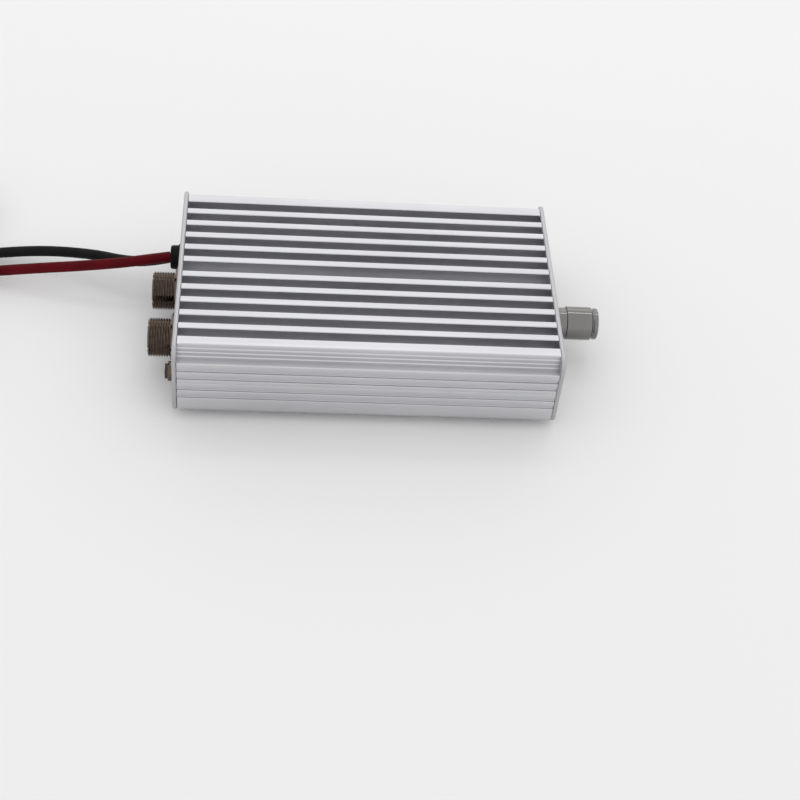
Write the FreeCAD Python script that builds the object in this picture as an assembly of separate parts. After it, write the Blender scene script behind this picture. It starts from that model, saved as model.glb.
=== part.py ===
import FreeCAD, Part
import math
import os

# HF linear amplifier in a finned extruded case.
# Millimetres. +X points out of the front panel (band knob), +Z is up, the feet stand on z = 0.

# ---- case ----
CASE_LENGTH = 155.0  # over both end panels
CASE_WIDTH = 100.0
CASE_HEIGHT = 35.0  # without the feet
PANEL_THICKNESS = 2.0
PANEL_CORNER_RADIUS = 4.5
FOOT_HEIGHT = 3.0
SEAM_SHARE = 0.5  # of the case's height, up to where the two shells meet
AXIS_SHARE = 0.4  # of the case's height, up to the knob, sockets and cable gland
WALL_THICKNESS = 2.6
ROOF_THICKNESS = 2.6  # under the grooves between the fins
FLOOR_THICKNESS = 2.2

# ---- fins on the upper shell ----
FIN_HEIGHT = 7.2
FIN_THICKNESS = 3.15
FIN_PITCH = 7.6
CENTRE_GAP = 5.9
EDGE_FIN_THICKNESS = 4.6
SLIM_FINS_PER_SIDE = 5
LEDGE_DROP = 6.8  # from the fin tops down to the shoulder beside the edge fins
SERRATION_COUNT = 2
SERRATION_DEPTH = 0.45
SERRATION_HEIGHT = 0.8

# ---- side walls ----
SIDE_GROOVE_COUNT = 2
SIDE_GROOVE_DEPTH = 0.9
SIDE_GROOVE_HEIGHT = 2.2
SIDE_GROOVE_PITCH = 4.2
SIDE_GROOVE_MARGIN = 1.9  # from the seam to each shell's first groove
TONGUE_WIDTH = 1.1
TONGUE_HEIGHT = 1.3
TONGUE_ROOT = 0.5  # of the tongue inside its shell's wall
TONGUE_CLEARANCE = 0.1

# ---- M3 fasteners ----
SCREW_RADIUS = 1.5
SCREW_CLEARANCE = 0.15
THREAD_CLEARANCE = 0.04
COUNTERSUNK_HEAD_RADIUS = 2.8
PAN_HEAD_RADIUS = 2.8
PAN_HEAD_HEIGHT = 1.9
RECESS_RADIUS = 1.1
RECESS_DEPTH = 0.9
PANEL_SCREW_LENGTH = 9.0
PORT_RADIUS = 3.0  # screw channels in the shells' corners
PORT_OVERLAP = 0.3  # of the channels with the walls
HEAD_OVERLAP = 0.1  # of a pan head with its shank
BLIND_HOLE_SPARE = 0.2  # beyond a screw's tip

# ---- rubber feet ----
FOOT_RADIUS = 5.5
FOOT_TAPER = 0.8
FOOT_INSET_X = 16.0
FOOT_INSET_Y = 13.0
FOOT_SCREW_LENGTH = 3.4
FOOT_SCREW_LIFT = 0.5  # of its head above the surface

# ---- coax sockets ----
SOCKET_SHARES = (0.14, -0.42)  # of the case's half width, from its middle
SOCKET_REACH = 11.5  # in front of the rear panel
SOCKET_BARREL_RADIUS = 7.94
SOCKET_BORE_RADIUS = 6.1
SOCKET_FACE_RECESS = 1.6
SOCKET_MOUTH_CHAMFER = 0.6
SOCKET_HOLE_CLEARANCE = 0.12
SOCKET_SHOULDER_FLATS = 18.5
SOCKET_SHOULDER_THICKNESS = 2.6
SOCKET_INNER_LENGTH = 6.2
SOCKET_NOTCHES = 4
SOCKET_NOTCH_WIDTH = 1.6
SOCKET_NOTCH_DEPTH = 0.8
SOCKET_WASHER_THICKNESS = 0.8
SOCKET_NUT_THICKNESS = 2.4
SOCKET_NUT_FLATS = 18.0
CONTACT_RADIUS = 2.75
CONTACT_BORE_RADIUS = 2.0
CONTACT_BORE_DEPTH = 11.0
CONTACT_WALL = 1.0  # behind the bore
CONTACT_SLOT_WIDTH = 0.5
CONTACT_SLOT_DEPTH = 4.0
CONTACT_TAIL_RADIUS = 0.9
CONTACT_TAIL_LENGTH = 7.0

# ---- keying jack, 3.5 mm ----
JACK_SHARE = -0.8  # of the case's half width
JACK_THREAD_RADIUS = 3.0
JACK_BORE_RADIUS = 1.8
JACK_BORE_DEPTH = 13.0
JACK_REACH = 3.2
JACK_BODY_SIZE = 6.8
JACK_BODY_LENGTH = 8.5
JACK_NUT_RADIUS = 4.0
JACK_NUT_THICKNESS = 2.0
JACK_SLOT_WIDTH = 1.0
JACK_SLOT_DEPTH = 0.6
JACK_HOLE_CLEARANCE = 0.1

# ---- cable gland and supply leads ----
GLAND_SHARE = 0.57  # of the case's half width
GLAND_REACH = 5.0
GLAND_FLANGE_RADIUS = 5.8
GLAND_FLANGE_THICKNESS = 1.6
GLAND_NECK_RADIUS = 5.2
GLAND_TIP_RADIUS = 5.0
GLAND_INNER_LENGTH = 2.2
LEAD_DIAMETER = 4.5
LEAD_SPLIT_Y = 1.6  # each lead's centre beside the gland's centre
LEAD_SPLIT_Z = 1.6
INNER_LEAD_GAP = 0.3  # between the leads' inner ends and the board's edge

# ---- routes of the leads ----
# Route points are (behind the rear panel, beside the gland's middle, above the surface).
LEAD_STRAIGHT = 16.0  # from the rear panel to the end of each lead's first run
RED_ROUTE = ((36.0, -4.5, 14.8), (63.0, -3.2, 9.2), (91.0, -1.5, 3.6))
BLACK_ROUTE = ((36.0, 7.1, 11.4), (63.0, 11.5, 7.0), (91.0, 12.7, 3.2))
ARC_SHARE = 0.45  # of the shorter run, taken by the arc at its end

# ---- lead coils and their ends ----
COIL_DISTANCE = 119.0  # from the rear panel to the coils' centres
RED_COIL_OFFSET = -27.0  # from the gland's middle to the coil's centre
BLACK_COIL_OFFSET = 36.5
COIL_MEAN_RADIUS = 25.0
COIL_WIDTH = 9.6
COIL_HEIGHT = 9.4
TAIL_ROUTE = ((0.0, 4.0), (1.2, 12.0), (5.0, 21.0))  # out from the coil's middle circle, then along
SLEEVE_RADIUS = 2.9
SLEEVE_LENGTH = 11.0
TERMINAL_HOLE_RADIUS = 2.65
TERMINAL_RING_RADIUS = 5.0
TERMINAL_THICKNESS = 1.0
TERMINAL_NECK_WIDTH = 4.6
TERMINAL_REACH = 9.0  # from the sleeve's end to the hole's centre

# ---- band switch and knob ----
KNOB_SHARE = -0.076  # of the case's half width
KNOB_GAP = 2.5
KNOB_LENGTH = 18.0
KNOB_RADIUS = 7.0
KNOB_NECK_RADIUS = 6.4
KNOB_NECK_LENGTH = 4.6
KNOB_EDGE_CHAMFER = 0.6
KNOB_RIM_STEP = 0.35
KNOB_RIM_WIDTH = 1.6
KNOB_FACE_DISH = 0.5
KNOB_POINTER_WIDTH = 0.9
KNOB_POINTER_DEPTH = 0.4
KNOB_POINTER_LENGTH = 3.6
KNOB_BORE_DEPTH = 13.0
KNOB_BORE_SPARE = 0.3  # beyond the shaft's end
SHAFT_RADIUS = 3.0
SHAFT_FLAT_DEPTH = 1.0
SHAFT_TAIL = 1.5  # behind the switch's wafer
SHAFT_FIT = 0.02  # shaft in the knob
BEARING_FIT = 0.05  # shaft in its bushing, radial
BUSHING_RADIUS = 4.5
BUSHING_HOLE_CLEARANCE = 0.1
BUSHING_NUT_FLATS = 12.0
BUSHING_NUT_THICKNESS = 1.5
BUSHING_WASHER_THICKNESS = 0.5
SWITCH_TOP_GAP = 2.7  # between the housing and the roof
SWITCH_CORNER_RADIUS = 2.0
SWITCH_HOUSING_LENGTH = 7.0
SWITCH_DECK_GAP = 3.0
SWITCH_DECK_THICKNESS = 1.4
SWITCH_DECK_TOP_GAP = 1.6  # between the wafer and the roof
SWITCH_ROTOR_RADIUS = 5.0
SWITCH_ROTOR_GAP = 0.35  # round the rotor
SWITCH_SPACER_RADIUS = 1.2
SWITCH_SPACER_GAP = 0.7  # beside the detent wheel
SWITCH_CONTACTS = 12
SWITCH_CONTACT_LENGTH = 4.0
SWITCH_CONTACT_WIDTH = 1.2
SWITCH_CONTACT_THICKNESS = 0.5
SWITCH_CONTACT_OFFSET = 1.2  # outside the rotor
DETENT_COUNT = 12
DETENT_RADIUS = 0.7
DETENT_WHEEL_GAP = 0.4
DETENT_WHEEL_THICKNESS = 1.6
SET_SCREW_RADIUS = 1.5
SET_SCREW_INSET = 0.3  # below the knob's surface
SET_SCREW_RECESS = 1.0

# ---- power rocker ----
ROCKER_SHARE = 0.58  # of the case's half width
ROCKER_BODY_WIDTH = 9.0
ROCKER_BODY_HEIGHT = 13.4
ROCKER_BODY_LENGTH = 12.5
ROCKER_BEZEL_WIDTH = 10.8
ROCKER_BEZEL_HEIGHT = 15.2
ROCKER_BEZEL_THICKNESS = 1.7
ROCKER_BEZEL_CHAMFER = 0.5
ROCKER_WALL = 1.0
ROCKER_BACK_WALL = 4.0
ROCKER_CLEARANCE = 0.3  # beside the rocker
ROCKER_END_GAP = 0.75  # above and below it, so that its ends can swing
ROCKER_PIVOT_RADIUS = 0.9
ROCKER_PIVOT_DEPTH = 1.4  # behind the bezel's face
ROCKER_TILT = 11.0  # degrees each way
ROCKER_RISE = 0.1  # of the middle of its face above the bezel
ROCKER_DEPTH = 3.2  # behind its pivot
ROCKER_EDGE = 0.5  # thickness at its two ends
ROCKER_SKIRT = 0.3  # of its ends in front of the pivot
ROCKER_BACK_SHARE = 0.45  # of its height, flat at the back
ROCKER_PIN_SHARE = 0.8  # of the wall's thickness, reach of each pin
ROCKER_TABS = 2
ROCKER_TAB_LENGTH = 6.0
ROCKER_TAB_WIDTH = 4.4
ROCKER_TAB_THICKNESS = 0.8
ROCKER_TAB_PITCH = 6.0
CUTOUT_CLEARANCE = 0.1

# ---- indicator lamps ----
LAMP_SHARE = -0.62  # of the case's half width
LAMP_SPACING = 9.0
LAMP_RADIUS = 1.5
LAMP_REACH = 1.6
LAMP_LENGTH = 5.4
LAMP_COLLAR_RADIUS = 2.3
LAMP_COLLAR_LENGTH = 2.4
LAMP_LEG_LENGTH = 6.0
LAMP_LEG_WIDTH = 0.5
LAMP_LEG_PITCH = 1.8
LAMP_HOLE_CLEARANCE = 0.1

# ---- electronics ----
BOARD_THICKNESS = 1.6
BOARD_MARGIN_Y = 9.0  # from the case's side to the board's edge
BOARD_REAR_GAP = 9.0  # from the rear panel
BOARD_FRONT_GAP = 20.0
STANDOFF_RADIUS = 3.0
STANDOFF_INSET = 4.5
STANDOFF_SCREW_DEPTH = 2.0  # into the roof
PIECE_GAP = 1.0  # between neighbours along the board
TRANSISTOR_PACKAGE = (9.0, 10.0, 4.5)
TRANSISTOR_SIDE_GAP = 1.5  # beside the output core
TRANSISTOR_TAB_LENGTH = 6.4
TRANSISTOR_TAB_THICKNESS = 1.3
TRANSISTOR_LEG_PITCH = 2.54
TRANSISTOR_LEG_WIDTH = 0.8
TRANSISTOR_LEG_THICKNESS = 0.5
TRANSISTOR_LEG_REACH = 3.0
TRANSISTOR_PAD_THICKNESS = 0.3
TRANSISTOR_PAD_MARGIN = 0.5
OUTPUT_CORE_WIDTH = 20.0
OUTPUT_CORE_RISE = 0.78  # of the room above the board
INPUT_CORE_WIDTH = 13.4
INPUT_CORE_RISE = 0.62
INPUT_CORE_SHARE = 0.35  # of the length left for the two cores
CORE_ROUNDING = 0.35  # of a core's height
CORE_HOLE_RADIUS = 2.4
WINDING_RADIUS = 1.9
WINDING_REACH = 0.4  # straight part beyond each end of the core
RELAY_LENGTH = 10.0
RELAY_WIDTH = 20.2
RELAY_RISE = 0.82  # of the room above the board
RELAY_SETBACK = 8.0  # from the board's rear edge
RELAY_CHAMFER = 0.5
BAND_COUNT = 5
BAND_SIDE_GAP = 3.5  # between the filters and the standoffs
BAND_RELAY = (10.0, 6.4, 5.2)
TOROID_SPACING = 0.7
TOROID_WALL = 2.5
TOROID_HEIGHT = 4.8
TOROID_WIRE = 0.8
TOROID_WOUND_ANGLE = 300.0
CAPACITOR_RADIUS = 5.0
CAPACITOR_RISE = 0.78  # of the room above the board
CAPACITOR_GROOVE = 0.8
CAPACITOR_GROOVE_HEIGHT = 1.6
CAPACITOR_PITCH = 12.0
CAPACITOR_INSET = 11.0  # from the board's side edges
CAPACITOR_PLACES = ((0, 1), (1, 1), (0, -1))  # in pitches ahead of the input core, and side

# ---- places worked out from the sizes above ----
KNOB_REACH = KNOB_GAP + KNOB_LENGTH
CASE_X = (SOCKET_REACH - KNOB_REACH) / 2  # keeps the origin mid-way along the whole object
REAR_OUT = CASE_X - CASE_LENGTH / 2
REAR_IN = REAR_OUT + PANEL_THICKNESS
FRONT_OUT = CASE_X + CASE_LENGTH / 2
FRONT_IN = FRONT_OUT - PANEL_THICKNESS
HALF_WIDTH = CASE_WIDTH / 2
UNDERSIDE = FOOT_HEIGHT
TOP = UNDERSIDE + CASE_HEIGHT
SEAM = UNDERSIDE + SEAM_SHARE * CASE_HEIGHT
AXIS_Z = UNDERSIDE + AXIS_SHARE * CASE_HEIGHT
SOCKET_Y = [share * HALF_WIDTH for share in SOCKET_SHARES]
JACK_Y = JACK_SHARE * HALF_WIDTH
GLAND_Y = GLAND_SHARE * HALF_WIDTH
KNOB_Y = KNOB_SHARE * HALF_WIDTH
ROCKER_Y = ROCKER_SHARE * HALF_WIDTH
LAMP_Y = LAMP_SHARE * HALF_WIDTH
LEAD_REST = LEAD_DIAMETER / 2  # height of a lead's centre where it lies on the surface
COIL_X = REAR_OUT - COIL_DISTANCE
RED_COIL_Y = GLAND_Y + RED_COIL_OFFSET
BLACK_COIL_Y = GLAND_Y + BLACK_COIL_OFFSET
GROOVE_FLOOR = TOP - FIN_HEIGHT
ROOF = GROOVE_FLOOR - ROOF_THICKNESS
FLOOR = UNDERSIDE + FLOOR_THICKNESS
LEDGE = TOP - LEDGE_DROP
FIN_BLOCK_HALF = CENTRE_GAP / 2 + SLIM_FINS_PER_SIDE * FIN_PITCH + EDGE_FIN_THICKNESS
INNER_HALF = HALF_WIDTH - WALL_THICKNESS
PORT_Y = INNER_HALF - PORT_RADIUS + PORT_OVERLAP
PORT_TOP_Z = ROOF - PORT_RADIUS + PORT_OVERLAP
PORT_LOW_Z = FLOOR + PORT_RADIUS - PORT_OVERLAP
SWITCH_WIDTH = 2 * (ROOF - AXIS_Z - SWITCH_TOP_GAP)
SWITCH_DECK_RADIUS = ROOF - AXIS_Z - SWITCH_DECK_TOP_GAP
BOARD_TOP = AXIS_Z - CONTACT_TAIL_RADIUS
BOARD_LOW = BOARD_TOP - BOARD_THICKNESS
BOARD_REAR = REAR_IN + BOARD_REAR_GAP
BOARD_FRONT = FRONT_IN - BOARD_FRONT_GAP
BOARD_HALF = HALF_WIDTH - BOARD_MARGIN_Y
BOARD_ROOM = ROOF - BOARD_TOP
BAND_SPAN = 2 * (BOARD_HALF - STANDOFF_INSET - STANDOFF_RADIUS - BAND_SIDE_GAP) - BAND_RELAY[1]
BAND_PITCH = BAND_SPAN / (BAND_COUNT - 1)
TOROID_RADIUS = (BAND_PITCH - TOROID_SPACING) / 2
TOROID_BORE_RADIUS = TOROID_RADIUS - TOROID_WALL
FRONT_RELAY_X = BOARD_FRONT - PIECE_GAP / 2 - BAND_RELAY[0] / 2
TOROID_X = FRONT_RELAY_X - BAND_RELAY[0] / 2 - PIECE_GAP - TOROID_RADIUS
REAR_RELAY_X = TOROID_X - TOROID_RADIUS - PIECE_GAP - BAND_RELAY[0] / 2
RELAY_X = BOARD_REAR + RELAY_SETBACK + RELAY_LENGTH / 2
INPUT_END = WINDING_REACH + INPUT_CORE_WIDTH / 4 + WINDING_RADIUS  # of its winding beyond the core
OUTPUT_END = WINDING_REACH + OUTPUT_CORE_WIDTH / 4 + WINDING_RADIUS
CORES_REAR = RELAY_X + RELAY_LENGTH / 2 + PIECE_GAP + INPUT_END
CORES_FRONT = REAR_RELAY_X - BAND_RELAY[0] / 2 - PIECE_GAP - OUTPUT_END
CORES_LENGTH = CORES_FRONT - CORES_REAR - INPUT_END - OUTPUT_END - PIECE_GAP
INPUT_CORE_LENGTH = INPUT_CORE_SHARE * CORES_LENGTH
OUTPUT_CORE_LENGTH = CORES_LENGTH - INPUT_CORE_LENGTH
INPUT_CORE = (INPUT_CORE_LENGTH, INPUT_CORE_WIDTH, INPUT_CORE_RISE * BOARD_ROOM)
OUTPUT_CORE = (OUTPUT_CORE_LENGTH, OUTPUT_CORE_WIDTH, OUTPUT_CORE_RISE * BOARD_ROOM)
INPUT_CORE_X = CORES_REAR + INPUT_CORE_LENGTH / 2
OUTPUT_CORE_X = CORES_FRONT - OUTPUT_CORE_LENGTH / 2
TRANSISTOR_X = CORES_FRONT - OUTPUT_CORE_LENGTH
TRANSISTOR_Y = OUTPUT_CORE_WIDTH / 2 + TRANSISTOR_SIDE_GAP + TRANSISTOR_PACKAGE[1] / 2


# ---- building blocks ----
def vec(x, y, z):
    return FreeCAD.Vector(x, y, z)


def block(x0, x1, y0, y1, z0, z1):
    return Part.makeBox(x1 - x0, y1 - y0, z1 - z0, vec(x0, y0, z0))


def rod(x0, x1, y, z, radius):
    """Round bar along X."""
    return Part.makeCylinder(radius, x1 - x0, vec(x0, y, z), vec(1, 0, 0))


def post(x, y, z0, z1, radius):
    """Round bar along Z."""
    return Part.makeCylinder(radius, z1 - z0, vec(x, y, z0), vec(0, 0, 1))


def prism(points, x0, x1):
    """Outline of (y, z) points carried along X."""
    wire = Part.makePolygon([vec(x0, y, z) for y, z in points + points[:1]])
    return Part.Face(wire).extrude(vec(x1 - x0, 0, 0))


def turned(profile, x, y, z, outward):
    """Profile of (distance, radius) points turned about the X axis; outward is +1 or -1."""
    points = [vec(x + outward * along, y, z + radius) for along, radius in profile]
    wire = Part.makePolygon(points + points[:1])
    return Part.Face(wire).revolve(vec(x, y, z), vec(1, 0, 0), 360)


def hexagon(x0, x1, y, z, flats, first=30):
    """Six-sided bar along X; first is the bearing of its first corner, in degrees from +Y."""
    corner = flats / 2 / math.cos(math.pi / 6)
    angles = [math.radians(first + 60 * k) for k in range(6)]
    return prism([(y + corner * math.cos(a), z + corner * math.sin(a)) for a in angles], x0, x1)


def hex_nut(x0, x1, y, z, flats, bore_radius, first=30):
    """Nut with its corners chamfered on both faces."""
    corner = flats / 2 / math.cos(math.pi / 6)
    cut = corner - flats / 2
    length = x1 - x0
    profile = [(0, 0), (0, corner - cut), (cut / 2, corner), (length - cut / 2, corner)]
    profile += [(length, corner - cut), (length, 0)]
    nut = hexagon(x0, x1, y, z, flats, first).common(turned(profile, x0, y, z, 1))
    return nut.cut(rod(x0 - 1, x1 + 1, y, z, bore_radius))


def spun(shape, count, y, z):
    """Copies of a shape evenly round the X axis through (y, z)."""
    copies = []
    for k in range(count):
        copy = shape.copy()
        copy.rotate(vec(0, y, z), vec(1, 0, 0), 360.0 * k / count)
        copies.append(copy)
    return copies


def group(shapes):
    return Part.makeCompound(shapes)


def save(name, shape):
    shape.exportStep("parts/" + name + ".step")


# ---- case shells ----
def fin_gaps():
    """(y low, y high) of each groove between fins on the +Y half, then mirrored."""
    gaps = [(-CENTRE_GAP / 2, CENTRE_GAP / 2)]
    for k in range(SLIM_FINS_PER_SIDE):
        low = CENTRE_GAP / 2 + k * FIN_PITCH + FIN_THICKNESS
        high = CENTRE_GAP / 2 + (k + 1) * FIN_PITCH
        gaps += [(low, high), (-high, -low)]
    return gaps


def side_grooves(step):
    """Shallow grooves along both sides of a shell; step is +1 above the seam and -1 below it."""
    cuts = []
    for k in range(SIDE_GROOVE_COUNT):
        z = SEAM + step * (SIDE_GROOVE_MARGIN + k * SIDE_GROOVE_PITCH)
        low = min(z, z + step * SIDE_GROOVE_HEIGHT)
        high = low + SIDE_GROOVE_HEIGHT
        for side in (1, -1):
            near = side * (HALF_WIDTH - SIDE_GROOVE_DEPTH)
            far = side * (HALF_WIDTH + 1)
            cuts.append(block(REAR_IN, FRONT_IN, min(near, far), max(near, far), low, high))
    return cuts


def serrations():
    """Fine V grooves along the outer faces of the two edge fins."""
    cuts = []
    spacing = LEDGE_DROP / (SERRATION_COUNT + 1)
    for k in range(SERRATION_COUNT):
        z = TOP - spacing * (k + 1)
        half = SERRATION_HEIGHT / 2
        for side in (1, -1):
            root = side * (FIN_BLOCK_HALF - SERRATION_DEPTH)
            mouth = side * (FIN_BLOCK_HALF + SERRATION_DEPTH)
            outline = [(root, z), (mouth, z + 2 * half), (mouth, z - 2 * half)]
            cuts.append(prism(outline, REAR_IN, FRONT_IN))
    return cuts


def screw_ports(z):
    """Tapped screw channels along the shell's inner corners, and their bores."""
    ports = [rod(REAR_IN, FRONT_IN, side * PORT_Y, z, PORT_RADIUS) for side in (1, -1)]
    bore = SCREW_RADIUS + THREAD_CLEARANCE
    bores = [rod(REAR_IN - 1, FRONT_IN + 1, side * PORT_Y, z, bore) for side in (1, -1)]
    return ports, bores


def transistor_screw_places():
    x = TRANSISTOR_X + TRANSISTOR_PACKAGE[0] / 2 + TRANSISTOR_TAB_LENGTH / 2
    return [(x, side * TRANSISTOR_Y) for side in (1, -1)]


def standoff_places():
    xs = (BOARD_REAR + STANDOFF_INSET, BOARD_FRONT - STANDOFF_INSET)
    ys = (BOARD_HALF - STANDOFF_INSET, STANDOFF_INSET - BOARD_HALF)
    return [(x, y) for x in xs for y in ys]


def top_shell():
    outline = [(-HALF_WIDTH, SEAM), (-HALF_WIDTH, LEDGE)]
    outline += [(-FIN_BLOCK_HALF, LEDGE), (-FIN_BLOCK_HALF, TOP)]
    outline += [(-y, z) for y, z in reversed(outline)]
    shell = prism(outline, REAR_IN, FRONT_IN)
    cuts = side_grooves(1) + serrations()
    for low, high in fin_gaps():
        cuts.append(block(REAR_IN - 1, FRONT_IN + 1, low, high, GROOVE_FLOOR, TOP + 1))
    for side in (1, -1):
        middle = side * (HALF_WIDTH - WALL_THICKNESS / 2)
        half = TONGUE_WIDTH / 2 + TONGUE_CLEARANCE
        top = SEAM + TONGUE_HEIGHT + TONGUE_CLEARANCE
        cuts.append(block(REAR_IN - 1, FRONT_IN + 1, middle - half, middle + half, SEAM - 1, top))
    shell = shell.cut(block(REAR_IN - 1, FRONT_IN + 1, -INNER_HALF, INNER_HALF, SEAM - 1, ROOF))
    ports, bores = screw_ports(PORT_TOP_Z)
    shell = shell.fuse(ports)
    hole = SCREW_RADIUS + THREAD_CLEARANCE
    depth = ROOF + STANDOFF_SCREW_DEPTH + BLIND_HOLE_SPARE
    for x, y in standoff_places() + transistor_screw_places():
        bores.append(post(x, y, ROOF - 1, depth, hole))
    return shell.cut(cuts + bores).removeSplitter()


def foot_places():
    xs = (REAR_OUT + FOOT_INSET_X, FRONT_OUT - FOOT_INSET_X)
    ys = (HALF_WIDTH - FOOT_INSET_Y, FOOT_INSET_Y - HALF_WIDTH)
    return [(x, y) for x in xs for y in ys]


def bottom_shell():
    shell = block(REAR_IN, FRONT_IN, -HALF_WIDTH, HALF_WIDTH, UNDERSIDE, SEAM)
    low_edges = [e for e in shell.Edges if e.BoundBox.ZMax < UNDERSIDE + 0.01]
    shell = shell.makeFillet(PANEL_CORNER_RADIUS, [e for e in low_edges if e.BoundBox.YLength < 0.01])
    shell = shell.cut(block(REAR_IN - 1, FRONT_IN + 1, -INNER_HALF, INNER_HALF, FLOOR, SEAM + 1))
    ports, bores = screw_ports(PORT_LOW_Z)
    tongues = []
    for side in (1, -1):
        middle = side * (HALF_WIDTH - WALL_THICKNESS / 2)
        half = TONGUE_WIDTH / 2
        low, high = SEAM - TONGUE_ROOT, SEAM + TONGUE_HEIGHT
        tongues.append(block(REAR_IN, FRONT_IN, middle - half, middle + half, low, high))
    shell = shell.fuse(ports + tongues)
    for x, y in foot_places():
        bores.append(post(x, y, UNDERSIDE - 1, FLOOR + 1, SCREW_RADIUS + THREAD_CLEARANCE))
    return shell.cut(side_grooves(-1) + bores).removeSplitter()


# ---- end panels ----
def blank_panel(x0, x1):
    panel = block(x0, x1, -HALF_WIDTH, HALF_WIDTH, UNDERSIDE, TOP)
    edges = [e for e in panel.Edges if e.BoundBox.XLength > PANEL_THICKNESS / 2]
    return panel.makeFillet(PANEL_CORNER_RADIUS, edges)


def panel_screw_places():
    return [(side * PORT_Y, z) for side in (1, -1) for z in (PORT_TOP_Z, PORT_LOW_Z)]


def countersink(outer_x, outward, y, z, head_radius, hole_radius):
    """Hole through a panel with a 90 degree countersink on its outer face."""
    depth = head_radius - hole_radius
    inner = -(PANEL_THICKNESS + 1)
    profile = [(inner, 0), (inner, hole_radius), (-depth, hole_radius), (0, head_radius)]
    profile += [(1, head_radius), (1, 0)]
    return turned(profile, outer_x, y, z, outward)


def panel_holes(outer_x, outward):
    hole = SCREW_RADIUS + SCREW_CLEARANCE
    head = COUNTERSUNK_HEAD_RADIUS + SCREW_CLEARANCE
    return [countersink(outer_x, outward, y, z, head, hole) for y, z in panel_screw_places()]


def rear_panel():
    cuts = panel_holes(REAR_OUT, -1)
    socket_hole = SOCKET_BARREL_RADIUS + SOCKET_HOLE_CLEARANCE
    for y in SOCKET_Y:
        cuts.append(rod(REAR_OUT - 1, REAR_IN + 1, y, AXIS_Z, socket_hole))
    cuts.append(rod(REAR_OUT - 1, REAR_IN + 1, JACK_Y, AXIS_Z, JACK_THREAD_RADIUS + JACK_HOLE_CLEARANCE))
    cuts.append(rod(REAR_OUT - 1, REAR_IN + 1, GLAND_Y, AXIS_Z, GLAND_NECK_RADIUS))
    return blank_panel(REAR_OUT, REAR_IN).cut(cuts)


def lamp_heights():
    return (AXIS_Z - LAMP_SPACING / 2, AXIS_Z + LAMP_SPACING / 2)


def front_panel():
    cuts = panel_holes(FRONT_OUT, 1)
    bushing_hole = BUSHING_RADIUS + BUSHING_HOLE_CLEARANCE
    cuts.append(rod(FRONT_IN - 1, FRONT_OUT + 1, KNOB_Y, AXIS_Z, bushing_hole))
    half_y = ROCKER_BODY_WIDTH / 2 + CUTOUT_CLEARANCE
    half_z = ROCKER_BODY_HEIGHT / 2 + CUTOUT_CLEARANCE
    y, z = ROCKER_Y, AXIS_Z
    cuts.append(block(FRONT_IN - 1, FRONT_OUT + 1, y - half_y, y + half_y, z - half_z, z + half_z))
    for z in lamp_heights():
        cuts.append(rod(FRONT_IN - 1, FRONT_OUT + 1, LAMP_Y, z, LAMP_RADIUS + LAMP_HOLE_CLEARANCE))
    return blank_panel(FRONT_IN, FRONT_OUT).cut(cuts)


def countersunk_screw(outer_x, outward, y, z):
    cone = COUNTERSUNK_HEAD_RADIUS - SCREW_RADIUS
    profile = [(0, 0), (0, COUNTERSUNK_HEAD_RADIUS), (-cone, SCREW_RADIUS)]
    profile += [(-PANEL_SCREW_LENGTH, SCREW_RADIUS), (-PANEL_SCREW_LENGTH, 0)]
    screw = turned(profile, outer_x, y, z, outward)
    low = min(outer_x, outer_x - outward * RECESS_DEPTH)
    return screw.cut(hexagon(low, low + RECESS_DEPTH, y, z, 2 * RECESS_RADIUS))


def panel_screws(outer_x, outward):
    return group([countersunk_screw(outer_x, outward, y, z) for y, z in panel_screw_places()])


# ---- feet ----
def rubber_feet():
    feet = []
    small, large = FOOT_RADIUS - FOOT_TAPER, FOOT_RADIUS
    head_room = PAN_HEAD_RADIUS + SCREW_CLEARANCE
    for x, y in foot_places():
        foot = Part.makeCone(small, large, FOOT_HEIGHT, vec(x, y, 0), vec(0, 0, 1))
        foot = foot.cut(post(x, y, -1, PAN_HEAD_HEIGHT, head_room))
        feet.append(foot.cut(post(x, y, 0, FOOT_HEIGHT + 1, SCREW_RADIUS + SCREW_CLEARANCE)))
    return group(feet)


def foot_screws():
    """Pan heads up inside the feet, clear of the floor."""
    screws = []
    low, high = FOOT_SCREW_LIFT, PAN_HEAD_HEIGHT
    for x, y in foot_places():
        screw = post(x, y, low, high, PAN_HEAD_RADIUS)
        screw = screw.fuse(post(x, y, high - HEAD_OVERLAP, high + FOOT_SCREW_LENGTH, SCREW_RADIUS))
        screws.append(screw.cut(post(x, y, low - 1, low + RECESS_DEPTH, RECESS_RADIUS)))
    return group(screws)


# ---- coax sockets ----
def socket_body(y):
    """Threaded barrel with an outer hexagon shoulder against the rear panel."""
    rear = -(PANEL_THICKNESS + SOCKET_INNER_LENGTH)
    bore, radius, chamfer = SOCKET_BORE_RADIUS, SOCKET_BARREL_RADIUS, SOCKET_MOUTH_CHAMFER
    profile = [(rear, bore), (rear, radius), (SOCKET_REACH - chamfer, radius)]
    profile += [(SOCKET_REACH, radius - chamfer), (SOCKET_REACH, bore)]
    body = turned(profile, REAR_OUT, y, AXIS_Z, -1)
    low = REAR_OUT - SOCKET_SHOULDER_THICKNESS
    ring_bore = (bore + radius) / 2
    body = body.fuse(hex_nut(low, REAR_OUT, y, AXIS_Z, SOCKET_SHOULDER_FLATS, ring_bore))
    mouth = REAR_OUT - SOCKET_REACH
    half = SOCKET_NOTCH_WIDTH / 2
    depth = mouth + SOCKET_NOTCH_DEPTH
    notch = block(mouth - 1, depth, y - half, y + half, AXIS_Z, AXIS_Z + radius + 1)
    return body.cut(spun(notch, SOCKET_NOTCHES, y, AXIS_Z)).removeSplitter()


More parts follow.
